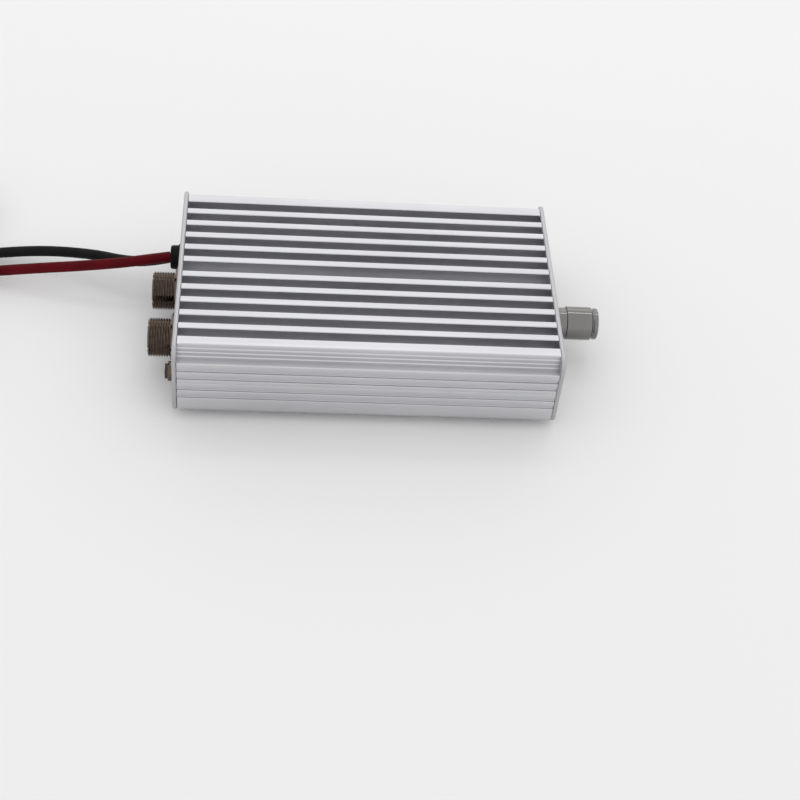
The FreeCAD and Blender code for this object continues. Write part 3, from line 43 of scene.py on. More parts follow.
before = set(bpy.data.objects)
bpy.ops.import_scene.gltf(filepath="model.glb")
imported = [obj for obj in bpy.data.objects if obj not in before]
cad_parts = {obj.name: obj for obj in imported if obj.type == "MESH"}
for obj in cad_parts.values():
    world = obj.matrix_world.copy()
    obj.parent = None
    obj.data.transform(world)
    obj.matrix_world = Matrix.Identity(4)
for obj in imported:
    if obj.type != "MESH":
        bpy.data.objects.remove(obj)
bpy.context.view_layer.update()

MM = 0.001
REAR_OUT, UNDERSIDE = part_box("rear_panel")[0].x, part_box("rear_panel")[0].z
REAR_IN, HALF_WIDTH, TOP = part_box("rear_panel")[1]
FRONT_IN, FRONT_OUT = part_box("front_panel")[0].x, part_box("front_panel")[1].x
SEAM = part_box("top_shell")[0].z


def node_middle(node):
    """Middle of a solid's box, in metres."""
    low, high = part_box(node)
    return (low + high) / 2


AXIS_Z = node_middle("switch_shaft").z
KNOB_Y = node_middle("switch_shaft").y
ROCKER_Y = node_middle("rocker_housing").y
GLAND_Y = node_middle("cable_gland").y
SOCKET_MIDDLES = {name: node_middle(f"{name}_socket_contact").y for name in ("antenna", "radio")}


# ---- properties ----
def length(name, description, millimetres):
    """Property for a length given in millimetres and kept in metres."""
    return bpy.props.FloatProperty(
        name=name, description=description, default=millimetres * MM, unit="LENGTH", precision=5
    )


def colour(name, description, value):
    """Property for a colour in linear light."""
    return bpy.props.FloatVectorProperty(
        name=name, description=description, default=value, subtype="COLOR", size=3, min=0.0, max=1.0
    )


def angle(name, description, degrees):
    """Property for an angle given in degrees and kept in radians."""
    return bpy.props.FloatProperty(
        name=name, description=description, default=math.radians(degrees), subtype="ANGLE"
    )


def number(name, description, value):
    """Property for a count."""
    return bpy.props.IntProperty(name=name, description=description, default=value, min=1)


class FinishColours(bpy.types.PropertyGroup):
    anodised: colour("Anodised", "Extruded shells with a clear anodised skin", (0.60, 0.60, 0.62))
    panel: colour("Panels", "Blasted and anodised end panels", (0.47, 0.47, 0.485))
    # The knob's colour sits well below bright polished aluminium: a painted reflection of dark surroundings,
    # not the metal's own tone.
    knob: colour("Knob", "Polished knob", (0.21, 0.204, 0.197))
    # The nickel's colour is a dark brown far below real plating: a painted reflection of dark surroundings in
    # the sockets.
    nickel: colour("Nickel", "Plated sockets and nuts", (0.125, 0.094, 0.073))
    rubber: colour("Rubber", "Gland and feet", (0.0045, 0.0045, 0.005))
    red: colour("Red insulation", "Positive lead", (0.09, 0.001, 0.004))
    black: colour("Black insulation", "Negative lead", (0.009, 0.009, 0.010))
    lamp: colour("Lamps", "Resin of the two lamps", (0.06, 0.50, 0.12))


class CaseSizes(bpy.types.PropertyGroup):
    wall: length("Wall", "Thickness of the shells' side walls", 2.6)
    roof: length("Roof", "Thickness under the grooves between the fins", 2.6)
    floor: length("Floor", "Thickness of the lower shell's floor", 2.2)
    corner_radius: length("Corner radius", "Of the end panels and the lower shell", 4.5)
    fin_height: length("Fin height", "Depth of the grooves between the fins", 7.2)
    fin_thickness: length("Fin thickness", "Of the slim fins", 3.15)
    fin_pitch: length("Fin pitch", "From fin to fin", 7.6)
    centre_gap: length("Centre gap", "Between the two halves of the fins", 5.9)
    edge_fin: length("Edge fin", "Thickness of the two outermost fins", 4.6)
    slim_fins: number("Slim fins", "On each side of the centre gap", 5)
    ledge_drop: length("Ledge drop", "From the fin tops to the shoulder beside the edge fins", 6.8)
    fin_edge: length("Fin edge", "Radius along the edges of the fins", 0.45)
    groove_edge: length("Groove edge", "Radius along the bottom of the grooves", 0.6)
    serrations: number("Serrations", "Fine grooves on each edge fin", 2)
    serration_depth: length("Serration depth", "Of the fine grooves on the edge fins", 0.45)
    serration_height: length("Serration height", "Of the fine grooves on the edge fins", 0.8)
    serration_edge: length("Serration edge", "Radius along the fine grooves", 0.12)
    side_grooves: number("Side grooves", "On each side wall of each shell", 2)
    side_groove_depth: length("Side groove depth", "Of the grooves along the side walls", 0.9)
    side_groove_height: length("Side groove height", "Of the grooves along the side walls", 2.2)
    side_groove_pitch: length("Side groove pitch", "From groove to groove", 4.2)
    side_groove_margin: length("Side groove margin", "From the seam to each first groove", 1.9)
    side_edge: length("Side edge", "Radius along the side grooves, the seam and the tongues", 0.25)
    port_radius: length("Port radius", "Of the screw channels in the shells' corners", 3.0)
    port_overlap: length("Port overlap", "Of the screw channels with the walls", 0.3)
    screw_bore: length("Screw bore", "Radius of the tapped holes in the channels", 1.54)
    tongue_width: length("Tongue width", "Of the lower shell's tongue", 1.1)
    tongue_height: length("Tongue height", "Of the lower shell's tongue", 1.3)
    tongue_clearance: length("Tongue clearance", "Round the tongue in the upper shell", 0.1)
    panel_edge: length("Panel edge", "Rounding round the end panels", 0.9)


class PanelHoles(bpy.types.PropertyGroup):
    edge: length("Edge", "Broken edge of every round hole", 0.15)
    socket: length("Socket", "Radius of each socket's hole", 8.06)
    gland: length("Gland", "Radius of the gland's hole", 5.2)
    jack: length("Jack", "Radius of the keying jack's hole", 3.1)
    bushing: length("Bushing", "Radius of the band switch's hole", 4.6)
    lamp: length("Lamp", "Radius of each lamp's hole", 1.6)
    lamp_spacing: length("Lamp spacing", "Between the two lamps", 9.0)
    rocker_width: length("Rocker width", "Of the rocker's opening", 9.2)
    rocker_height: length("Rocker height", "Of the rocker's opening", 13.6)
    rocker_corner: length("Rocker corner", "Radius in the corners of the rocker's opening", 0.3)
    screw: length("Screw", "Radius of the holes for the panel screws", 1.65)
    screw_head: length("Screw head", "Radius of their countersinks at the outer face", 2.95)
    screw_play: length("Screw play", "Round the head of each panel screw", 0.15)


class MarkSizes(bpy.types.PropertyGroup):
    lift: length("Lift", "Height of the paint above its surface", 0.05)
    sink: length("Sink", "Depth of the paint under its surface", 0.08)
    bands: number("Bands", "Numerals round the band knob", 5)
    band_step: angle("Band step", "From numeral to numeral", 30.0)
    numeral_height: length("Numeral height", "Of the numerals round the band knob", 2.8)
    numeral_radius: length("Numeral radius", "From the knob's axis to the numerals", 11.6)
    tick_start: length("Tick start", "From the knob's axis to each tick", 8.2)
    tick_end: length("Tick end", "From the knob's axis to each tick's end", 9.4)
    tick_width: length("Tick width", "Of each tick", 0.4)
    rocker_face: length("Rocker face", "From the panel to the fold of the rocker", 1.8)
    rocker_slope: angle("Rocker slope", "Of each half of the rocker", 11.0)
    rocker_mark: length("Rocker mark", "From the fold to each mark", 2.7)
    on_height: length("On height", "Of the line that marks the rocker's upper half", 2.2)
    off_radius: length("Off radius", "Of the ring that marks the rocker's lower half", 1.1)
    stroke: length("Stroke", "Width of the rocker's marks", 0.4)


class SocketSizes(bpy.types.PropertyGroup):
    reach: length("Reach", "In front of the rear panel", 11.1)
    radius: length("Radius", "Over the thread", 7.94)
    bore: length("Bore", "Radius inside the barrel", 6.1)
    thread_pitch: length("Thread pitch", "24 turns to the inch", 25.4 / 24)
    thread_depth: length("Thread depth", "From crest to root", 0.58)
    shoulder_flats: length("Shoulder flats", "Across the hexagon", 18.5)
    shoulder_thickness: length("Shoulder thickness", "Of the hexagon", 1.8)
    shoulder_turn: angle("Shoulder turn", "Bearing of a corner of the hexagon", 48.0)
    inner_length: length("Inner length", "Behind the rear panel", 6.2)
    mouth_edge: length("Mouth edge", "Rounding at the mouth", 0.35)
    notches: number("Notches", "In the rim of the mouth", 4)
    notch_width: length("Notch width", "Of each notch in the rim", 1.6)
    notch_depth: length("Notch depth", "Of each notch in the rim", 0.8)
    notch_flank: length("Notch flank", "Half the width of each notch's steep sides", 0.1)


class KnobSizes(bpy.types.PropertyGroup):
    gap: length("Gap", "Between the panel and the knob", 2.5)
    length: length("Length", "Of the whole knob", 18.0)
    radius: length("Radius", "Of the grip", 7.0)
    neck_radius: length("Neck radius", "Of the end beside the panel", 6.4)
    neck_length: length("Neck length", "Of the end beside the panel", 4.6)
    rim_step: length("Rim step", "From the grip down to the rim", 0.4)
    rim_width: length("Rim width", "Of the rim round the face", 1.5)
    rim_face: length("Rim face", "From the rim's outside to its inner edge", 1.1)
    groove_width: length("Groove width", "Of the turned groove before the rim", 1.4)
    groove_depth: length("Groove depth", "Of the turned groove before the rim", 0.9)
    dish: length("Dish", "Depth of the face inside the rim", 0.5)
    dish_margin: length("Dish margin", "From the rim's outside to the face", 1.6)
    edge: length("Edge", "Rounding along the rim", 0.5)
    pointer_width: length("Pointer width", "Of the line on the face", 0.9)
    pointer_length: length("Pointer length", "Of the line on the face", 3.6)
    pointer_margin: length("Pointer margin", "From the rim's outside to the line", 1.9)
    lift: length("Lift", "Height of the line's paint above the face", 0.06)
    sink: length("Sink", "Depth of the line's paint under the face", 0.1)


class GlandSizes(bpy.types.PropertyGroup):
    reach: length("Reach", "In front of the rear panel", 5.0)
    flange_radius: length("Flange radius", "Of the flange on each side of the panel", 5.8)
    flange_thickness: length("Flange thickness", "In front of the panel", 1.6)
    neck_radius: length("Neck radius", "Where it passes the panel", 5.2)
    tip_radius: length("Tip radius", "At its end", 5.0)
    inner_length: length("Inner length", "Behind the panel", 2.2)


class LeadSizes(bpy.types.PropertyGroup):
    diameter: length("Diameter", "Outer diameter of each supply lead", 4.5)
    coil_radius: length("Coil radius", "Radius at the middle of the coil's turns", 25.0)
    turn_spacing: length("Turn spacing", "Between the centres of turns that lie side by side", 4.8)
    layer_height: length("Layer height", "Between the centres of turns that lie on each other", 4.5)
    red_length: length("Red length", "Real length of the positive lead", 636.0)
    black_length: length("Black length", "Real length of the negative lead", 636.0)
    tie_width: length("Tie width", "Of the strap round each coil", 4.0)
    tie_thickness: length("Tie thickness", "Of the strap round each coil", 0.7)
    tie_play: length("Tie play", "Between the turns and the strap's outside", 0.1)
    tie_lift: length("Tie lift", "Of the strap over the floor", 0.15)
    tie_bearing: angle("Tie bearing", "Of the strap from the coil's +X side", 20.0)


class StageSettings(bpy.types.PropertyGroup):
    azimuth: angle("Azimuth", "Camera's bearing round the object", -7.12)
    elevation: angle("Elevation", "Camera's height above the horizon", 45.94)
    roll: angle("Roll", "Turn of the picture about the line of sight", 6.92)
    distance: length("Distance", "From the camera to its target", 618.5)
    focal: bpy.props.FloatProperty(
        name="Focal length", description="Lens for a 36 mm sensor", default=73.125, unit="CAMERA"
    )
    floor_colour: colour("Floor", "Colour of the floor", (0.92, 0.92, 0.92))
    floor_reach: length("Floor reach", "From the middle of the floor to each side", 4000.0)
    world_light: bpy.props.FloatProperty(
        name="World light", description="Strength of the surroundings as a light", default=0.88, min=0.0
    )


# ---- small tools ----
def link_new(name, data):
    """New object of this data in the scene."""
    obj = bpy.data.objects.new(name, data)
    bpy.context.scene.collection.objects.link(obj)
    return obj


def add_object(name, data, body, slot):
    """Object that rides on a body and takes a slot's finish."""
    obj = link_new(name, data)
    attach(obj, body)
    obj.data.materials.append(FINISHES[slot])
    return obj


def close_mesh(mesh, sharp_degrees=30.0):
    """Joins coincident points, turns every face outwards and shades smooth up to the sharp angle."""
    work = bmesh.new()
    work.from_mesh(mesh)
    bmesh.ops.remove_doubles(work, verts=work.verts, dist=1e-7)
    bmesh.ops.dissolve_degenerate(work, edges=work.edges, dist=1e-8)
    bmesh.ops.recalc_face_normals(work, faces=work.faces)
    work.to_mesh(mesh)
    work.free()
    mesh.polygons.foreach_set("use_smooth", np.ones(len(mesh.polygons), dtype=bool))
    mesh.set_sharp_from_angle(angle=math.radians(sharp_degrees))


def grid_faces(rows, columns, ring=False, first=0):
    """Quads of a grid whose columns close on themselves, and whose rows do too where it is a ring."""
    i, j = np.meshgrid(np.arange(rows if ring else rows - 1), np.arange(columns), indexing="ij")
    below, beside = (i + 1) % rows, (j + 1) % columns
    corners = (i * columns + j, i * columns + beside, below * columns + beside, below * columns + j)
    return first + np.stack(corners, axis=-1).reshape(-1, 4)


def add_surface(name, grid, body, slot, ring=False):
    """Closed surface over a (rows, columns, 3) grid whose columns close. The rows close too where it is a
    ring, and otherwise its first and last rows are filled."""
    rows, columns = grid.shape[:2]
    faces = grid_faces(rows, columns, ring).tolist()
    if not ring:
        faces += [list(range(columns)), list(range((rows - 1) * columns, rows * columns))]
    mesh = bpy.data.meshes.new(name)
    mesh.from_pydata(grid.reshape(-1, 3).tolist(), [], faces)
    close_mesh(mesh)
    return add_object(name, mesh, body, slot)


def rounded(corners, steps=5):
    """Closed loop through (across, up, radius) corners, each turned by an exact arc.

    With t from 0 to 1, a point of an arc is the mean of the arc's start, the corner and the arc's end
    with the weights (1-t)^2, 2 t (1-t) cos(turn/2) and t^2."""
    corners = np.array(corners, dtype=float)
    point, radius = corners[:, :2], corners[:, 2]
    back = np.roll(point, 1, axis=0) - point
    ahead = np.roll(point, -1, axis=0) - point
    back /= np.linalg.norm(back, axis=1, keepdims=True)
    ahead /= np.linalg.norm(ahead, axis=1, keepdims=True)
    half_turn = (math.pi - np.arccos(np.clip((back * ahead).sum(axis=1), -1, 1))) / 2
    cut = (radius * np.tan(half_turn))[:, None]
    t = np.linspace(0.0, 1.0, steps + 1)
    middle_weight = 2 * t * (1 - t) * np.cos(half_turn)[:, None]
    start_weight = np.broadcast_to((1 - t) ** 2, middle_weight.shape)
    end_weight = np.broadcast_to(t**2, middle_weight.shape)
    weights = np.stack([start_weight, middle_weight, end_weight], axis=-1)
    anchors = np.stack([point + back * cut, point, point + ahead * cut], axis=1)
    loop = (weights @ anchors / weights.sum(axis=-1, keepdims=True)).reshape(-1, 2)
    apart = np.linalg.norm(loop - np.roll(loop, 1, axis=0), axis=1) > 1e-7
    return loop[apart]


def rectangle(y, z, across, up, radius, steps=5):
    """Rounded rectangle whose sides lie this far across and up from (y, z), counter-clockwise."""
    corners = (y, z) + np.array([(1, -1), (1, 1), (-1, 1), (-1, -1)]) * (across, up)
    return rounded(np.column_stack([corners, np.full(4, radius)]), steps)


def circle(y, z, radius, count=48):
    """Points at equal angles round (y, z)."""
    bearing = np.linspace(0.0, 2 * math.pi, count, endpoint=False)
    return np.column_stack([y + radius * np.cos(bearing), z + radius * np.sin(bearing)])


def inset(loop, amount):
    """Loop moved towards its left, along the normal of the chord between each point's neighbours."""
    along = np.roll(loop, -1, axis=0) - np.roll(loop, 1, axis=0)
    along /= np.linalg.norm(along, axis=1, keepdims=True)
    return loop + amount * np.column_stack([-along[:, 1], along[:, 0]])


def ring_at(loop, x):
    """Points (x, y, z) of a (y, z) loop, with one x for all or one for each."""
    return np.column_stack([np.broadcast_to(x, len(loop)), loop])


def painted(loop, surface_x, s):
    """Stack of a mark's paint round a loop, from under a surface to above it."""
    return [ring_at(loop, surface_x - s.sink), ring_at(loop, surface_x + s.lift)]


def add_slab(name, stacks, body, slot):
    """Solid between two flat faces across X. Each stack is a list of rings of equal length, from the
    face of least X to the other: the first stack goes round the outside and the others round holes. The
    walls are grids through the rings, and each flat face is filled between all its rings."""
    verts, walls, ends = [], [], ([], [])
    first = 0
    for stack in stacks:
        columns = len(stack[0])
        verts.append(np.concatenate(stack))
        walls.append(grid_faces(len(stack), columns, first=first))
        ends[0].append(first + np.arange(columns))
        first += len(stack) * columns
        ends[1].append(first - columns + np.arange(columns))
    mesh = bpy.data.meshes.new(name)
    mesh.from_pydata(np.concatenate(verts).tolist(), [], np.concatenate(walls).tolist())
    work = bmesh.new()
    work.from_mesh(mesh)
    work.verts.ensure_lookup_table()
    for loops in ends:
        edges = []
        for loop in loops:
            pairs = zip(loop.tolist(), np.roll(loop, -1).tolist())
            edges += [work.edges.get((work.verts[a], work.verts[b])) for a, b in pairs]
        bmesh.ops.triangle_fill(work, edges=edges, use_beauty=True)
    work.to_mesh(mesh)
    work.free()
    close_mesh(mesh)
    return add_object(name, mesh, body, slot)


def add_spline(name, points, radius, body, slot):
    """Round cord along a smooth spline whose control points are the route's points, in metres."""
    curve = bpy.data.curves.new(name, "CURVE")
    curve.dimensions = "3D"
    spline = curve.splines.new("NURBS")
    spline.points.add(len(points) - 1)
    spline.points.foreach_set("co", np.column_stack([points, np.ones(len(points))]).ravel())
    spline.points.foreach_set("radius", np.full(len(points), radius))
    spline.order_u = 3
    spline.use_endpoint_u = True
    spline.resolution_u = 6
    curve.bevel_depth = 1.0
    curve.bevel_resolution = 5
    curve.use_fill_caps = True
    return add_object(name, curve, body, slot)


def add_turned(name, node, corners, place, outward, count, body, slot):
    """Piece turned about the line through a place along X, which replaces a solid. Its half section runs
    through (distance, radius, rounding) corners, from the axis back to the axis; a point lies at
    x + outward * distance, and its radius points at equal angles all round."""
    profile = rounded(corners)
    start = np.argmin(np.abs(profile - corners[0][:2]).sum(axis=1))
    distance, radius = np.roll(profile, -start, axis=0).T[:, :, None]
    x, y, z = place
    bearing = np.linspace(0.0, 2 * math.pi, count, endpoint=False)
    along = np.broadcast_to(x + outward * distance, (len(profile), count))
    grid = np.stack([along, y + radius * np.cos(bearing), z + radius * np.sin(bearing)], axis=-1)
    piece = add_surface(name, grid, body, slot)
    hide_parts(node)


# ---- finishes ----
FINISHES = {}


class Finish:
    """Material built up from one Principled shader, with its patterns on Object coordinates."""

    def __init__(self, name, base, metallic, roughness, **sockets):
        self.slot = name
        self.base = base
        self.material = bpy.data.materials.new(f"{name}_finish")
        self.material.use_nodes = True
        self.tree = self.material.node_tree
        self.shader = self.tree.nodes["Principled BSDF"]
        values = {"Base Color": (*base, 1.0), "Metallic": metallic, "Roughness": roughness}
        for socket, value in {**values, **sockets}.items():
            self.shader.inputs[socket].default_value = value
        self.place = self.node("ShaderNodeTexCoord").outputs["Object"]
        self.normal = None

    def node(self, kind, values=None, **settings):
        """New node with these settings, and these values on its sockets."""
        node = self.tree.nodes.new(kind)
        for name, value in settings.items():
            setattr(node, name, value)
        for socket, value in (values or {}).items():
            node.inputs[socket].default_value = value
        return node

    def link(self, start, end):
        self.tree.links.new(start, end)

    def noise(self, scale, detail, stretch=(1.0, 1.0, 1.0)):
        """Noise with this many waves to the metre, stretched along the axes."""
        mapping = self.node("ShaderNodeMapping", {"Scale": stretch})
        self.link(self.place, mapping.inputs["Vector"])
        noise = self.node("ShaderNodeTexNoise", {"Scale": scale, "Detail": detail})
        self.link(mapping.outputs["Vector"], noise.inputs["Vector"])
        return noise.outputs["Fac"]

    def ranged(self, value, low, high):
        """The middle of a noise's range, spread from low to high."""
        limits = {"From Min": 0.3, "From Max": 0.7, "To Min": low, "To Max": high}
        spread = self.node("ShaderNodeMapRange", limits)
        self.link(value, spread.inputs["Value"])
        return spread.outputs["Result"]

    def roughen(self, value, low, high):
        """Roughness that drifts between two values."""
        self.link(self.ranged(value, low, high), self.shader.inputs["Roughness"])

    def mottle(self, value, low, high):
        """Brightness that drifts between two shares of the base colour."""
        dark, light = ([*(min(share * c, 1.0) for c in self.base), 1.0] for share in (low, high))
        mix = self.node("ShaderNodeMix", {6: dark, 7: light}, data_type="RGBA")
        self.link(self.ranged(value, 0.0, 1.0), mix.inputs["Factor"])
        self.link(mix.outputs[2], self.shader.inputs["Base Color"])

    def bump(self, value, depth):
        """Relief of this depth in metres, on top of the relief so far."""
        bump = self.node("ShaderNodeBump", {"Strength": 1.0, "Distance": depth})
        self.link(value, bump.inputs["Height"])
        if self.normal:
            self.link(self.normal, bump.inputs["Normal"])
        self.normal = bump.outputs["Normal"]
        self.link(self.normal, self.shader.inputs["Normal"])


def anodised_finish(base):
    """Extruded aluminium: faint draw lines along X under a satin anodised skin."""
    finish = Finish("anodised_aluminium", base, 1.0, 0.36)
    lines = finish.noise(2600.0, 2.0, (0.004, 1.0, 1.0))
    finish.mottle(finish.noise(45.0, 4.0, (0.35, 1.0, 1.0)), 0.95, 1.04)
    finish.roughen(lines, 0.30, 0.42)
    finish.bump(lines, 12e-6)
    finish.bump(finish.noise(9000.0, 2.0), 6e-6)
    return finish


def knob_finish(base):
    """Turned and polished: fine rings round the axis. Its dark base colour is a painted reflection of dark
    surroundings.
    """
    finish = Finish("knob_aluminium", base, 1.0, 0.12)
    finish.mottle(finish.noise(90.0, 3.0), 0.94, 1.05)
    finish.roughen(finish.noise(320.0, 4.0), 0.09, 0.15)
    finish.bump(finish.noise(5200.0, 2.0, (1.0, 0.01, 0.01)), 4e-6)
    return finish


def worked_finish(name, base, metallic, roughness, tone, gloss, relief, **sockets):
    """Finish whose tone, gloss and relief follow noises. Tone and gloss are (waves to the metre, detail,
    low, high), and relief is (waves to the metre, detail, depth in metres)."""
    finish = Finish(name, base, metallic, roughness, **sockets)
    finish.mottle(finish.noise(*tone[:2]), *tone[2:])
    finish.roughen(finish.noise(*gloss[:2]), *gloss[2:])
    finish.bump(finish.noise(*relief[:2]), relief[2])
    return finish


def plain_finish(name, base, metallic, roughness, grain, depth, **sockets):
    """Finish with a slight drift of tone, uneven gloss and a fine grain."""
    tone = (grain / 12, 4.0, 0.88, 1.1)
    gloss = (grain / 4, 3.0, 0.85 * roughness, min(1.2 * roughness, 1.0))
    relief = (grain, 2.0, depth)
    return worked_finish(name, base, metallic, roughness, tone, gloss, relief, **sockets)


INSULATION = (0.0, 0.6, 0.1, (140, 4, 0.85, 1.2), (240, 5, 0.5, 0.68), (1500, 2, 20e-6))
WORKED_FINISHES = {
    # slot: colour, metallic, roughness, specular level, then tone, gloss and relief
    "panel_aluminium": ("panel", 1.0, 0.4, 0.5, (60, 4, 0.96, 1.03), (700, 3, 0.36, 0.46), (6500, 2, 12e-6)),
    # nickel_plate takes the nickel colour, darkened as a painted reflection of dark surroundings
    "nickel_plate": ("nickel", 1.0, 0.16, 0.5, (260, 5, 0.85, 1.1), (420, 4, 0.11, 0.2), (3000, 2, 6e-6)),
    "black_rubber": ("rubber", 0.0, 0.62, 0.12, (300, 4, 0.8, 1.5), (500, 3, 0.52, 0.74), (4200, 3, 30e-6)),
    "red_insulation": ("red", *INSULATION),
    "black_insulation": ("black", *INSULATION),
}
PLAIN_FINISHES = {
    # slot: base colour, metallic, roughness, grain waves to the metre, depth in metres
    "zinc_steel": ((0.55, 0.56, 0.58), 1.0, 0.32, 3000, 6e-6),
    "black_steel": ((0.03, 0.03, 0.032), 1.0, 0.4, 3000, 6e-6),
    "white_insulator": ((0.72, 0.70, 0.64), 0.0, 0.35, 2500, 10e-6),
    "gold_contact": ((0.83, 0.58, 0.24), 1.0, 0.22, 2500, 4e-6),
    "black_plastic": ((0.016, 0.016, 0.017), 0.0, 0.42, 4200, 12e-6),
    "tinned_copper": ((0.66, 0.64, 0.61), 1.0, 0.28, 2400, 8e-6),
    "circuit_board": ((0.015, 0.11, 0.04), 0.0, 0.35, 1500, 8e-6),
    "ferrite": ((0.05, 0.047, 0.045), 0.0, 0.7, 3500, 30e-6),
    "enamelled_wire": ((0.45, 0.13, 0.04), 0.7, 0.25, 1800, 10e-6),
    "blue_plastic": ((0.02, 0.07, 0.28), 0.0, 0.35, 3000, 10e-6),
    "mark_paint": ((0.02, 0.02, 0.022), 0.0, 0.5, 4000, 5e-6),
    "pale_paint": ((0.75, 0.75, 0.73), 0.0, 0.5, 4000, 5e-6),
    "tie_strap": ((0.02, 0.02, 0.021), 0.0, 0.75, 3800, 40e-6),
}


def make_finishes(colours):
    """Fills FINISHES with one material for each slot and for the added pieces' paints."""
    made = [anodised_finish(colours.anodised), knob_finish(colours.knob)]
    for name, (tint, metallic, roughness, specular, *patterns) in WORKED_FINISHES.items():
        sockets = {"Specular IOR Level": specular}
        made.append(worked_finish(name, getattr(colours, tint), metallic, roughness, *patterns, **sockets))
    made += [plain_finish(name, *values) for name, values in PLAIN_FINISHES.items()]
    clear = {"Transmission Weight": 0.5}
    made.append(plain_finish("lamp_resin", colours.lamp, 0.0, 0.12, 1200, 3e-6, **clear))
    FINISHES.update({finish.slot: finish.material for finish in made})


class AMPLIFIER_OT_finishes(bpy.types.Operator):
    """Makes the finishes and gives each solid its own"""

    bl_idname = "amplifier.finishes"
    bl_label = "Finishes"

    def execute(self, context):
        make_finishes(context.scene.amplifier_colours)
        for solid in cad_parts.values():
            slot = solid.data.materials[0].name
            solid.data.materials[0] = FINISHES[slot]
        return {"FINISHED"}


# ---- case ----
def mirrored(half):
    """Half an outline, then its mirror image across the middle plane in the opposite order."""
    half = np.array(half, dtype=float)
    image = half[::-1].copy()
    image[:, 0] *= -1
    return np.vstack([half, image])


def side_groove(low, s):
    """Corners of a groove along the side wall, from its lower edge up."""
    high, root = low + s.side_groove_height, HALF_WIDTH - s.side_groove_depth
    corners = ((HALF_WIDTH, low), (root, low), (root, high), (HALF_WIDTH, high))
    return [(*corner, s.side_edge) for corner in corners]


def upper_outline(s):
    """(y, z, radius) corners outside the finned shell, from the seam on +Y over the fins to -Y."""
    wall_middle = HALF_WIDTH - s.wall / 2
    slot_half = s.tongue_width / 2 + s.tongue_clearance
    slot_top = SEAM + s.tongue_height + s.tongue_clearance
    half = [(HALF_WIDTH - s.wall, SEAM, 0)]
    half += [(wall_middle - slot_half, SEAM, 0), (wall_middle - slot_half, slot_top, 0)]
    half += [(wall_middle + slot_half, slot_top, 0), (wall_middle + slot_half, SEAM, 0)]
    half += [(HALF_WIDTH, SEAM, s.side_edge)]
    for k in range(s.side_grooves):
        half += side_groove(SEAM + s.side_groove_margin + k * s.side_groove_pitch, s)
    ledge, root, gap = TOP - s.ledge_drop, TOP - s.fin_height, s.centre_gap / 2
    edge = gap + s.slim_fins * s.fin_pitch + s.edge_fin
    half += [(HALF_WIDTH, ledge, s.fin_edge), (edge, ledge, s.groove_edge)]
    for k in range(s.serrations):
        z, bite = ledge + s.ledge_drop * (k + 1) / (s.serrations + 1), s.serration_height / 2
        corners = ((edge, z - bite), (edge - s.serration_depth, z), (edge, z + bite))
        half += [(*corner, s.serration_edge) for corner in corners]
    half += [(edge, TOP, s.fin_edge)]
    for k in reversed(range(s.slim_fins)):
        low, high = gap + k * s.fin_pitch + s.fin_thickness, gap + (k + 1) * s.fin_pitch
        half += [(high, TOP, s.fin_edge), (high, root, s.groove_edge)]
        half += [(low, root, s.groove_edge), (low, TOP, s.fin_edge)]
    half += [(gap, TOP, s.fin_edge), (gap, root, s.groove_edge)]
    return mirrored(half)


def lower_outline(s):
    """(y, z, radius) corners outside the lower shell, from the seam on -Y under the floor to +Y."""
    wall_middle = HALF_WIDTH - s.wall / 2
    tongue_half, tongue_top = s.tongue_width / 2, SEAM + s.tongue_height
    half = [(HALF_WIDTH, UNDERSIDE, s.corner_radius)]
    for k in reversed(range(s.side_grooves)):
        high = SEAM - s.side_groove_margin - k * s.side_groove_pitch
        half += side_groove(high - s.side_groove_height, s)
    half += [(HALF_WIDTH, SEAM, s.side_edge), (wall_middle + tongue_half, SEAM, 0)]
    half += [(wall_middle + side * tongue_half, tongue_top, s.side_edge) for side in (1, -1)]
    half += [(wall_middle - tongue_half, SEAM, 0), (HALF_WIDTH - s.wall, SEAM, 0)]
    return np.roll(mirrored(half), len(half), axis=0)


def channel_arc(y, z, upward, s):
    """Side of a screw channel in the hollow: the arc between the wall and the roof or floor."""
    edge = math.acos((s.port_radius - s.port_overlap) / s.port_radius)
    sweep = np.linspace(-edge, edge - 1.5 * math.pi, 22)
    return np.column_stack([y + s.port_radius * np.cos(sweep), z + upward * s.port_radius * np.sin(sweep)])


def add_shell(name, node, outside, inner_z, upward, s):
    """Extrusion: an outside loop carried along X, hollow as far up or down as inner_z, with a screw
    channel in each corner of the hollow."""
    step = s.port_radius - s.port_overlap
    y, z = HALF_WIDTH - s.wall - step, inner_z - upward * step
    hollow = mirrored(channel_arc(y, z, upward, s) * (-upward, 1))
    shapes = [np.vstack([outside, hollow])]
    shapes += [circle(side * y, z, s.screw_bore, 24) for side in (1, -1)]
    stacks = [[ring_at(shape, x) for x in (REAR_IN, FRONT_IN)] for shape in shapes]
    shell = add_slab(name, stacks, "chassis", "anodised_aluminium")
    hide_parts(node)


class AMPLIFIER_OT_shells(bpy.types.Operator):
    """Builds the finned upper shell and the lower shell"""

    bl_idname = "amplifier.shells"
    bl_label = "Case shells"

    def execute(self, context):
        s = context.scene.amplifier_case
        roof, floor = TOP - s.fin_height - s.roof, UNDERSIDE + s.floor
        add_shell("finned_upper_shell", "top_shell", rounded(upper_outline(s), 4), roof, 1, s)
        add_shell("lower_shell", "bottom_shell", rounded(lower_outline(s), 6), floor, -1, s)
        return {"FINISHED"}


# ---- end panels ----
def panel_stack(loop, low_x, high_x, edge):
    """Rings round a plate's outline: both edges are a quarter circle of this radius."""
    turn = np.linspace(0.0, math.pi / 2, 7)
    depth, shrink = edge * (1 - np.sin(turn)), edge * (1 - np.cos(turn))
    low = [ring_at(inset(loop, s), low_x + d) for d, s in zip(depth[::-1], shrink[::-1])]
    high = [ring_at(inset(loop, s), high_x - d) for d, s in zip(depth, shrink)]
    return low + high


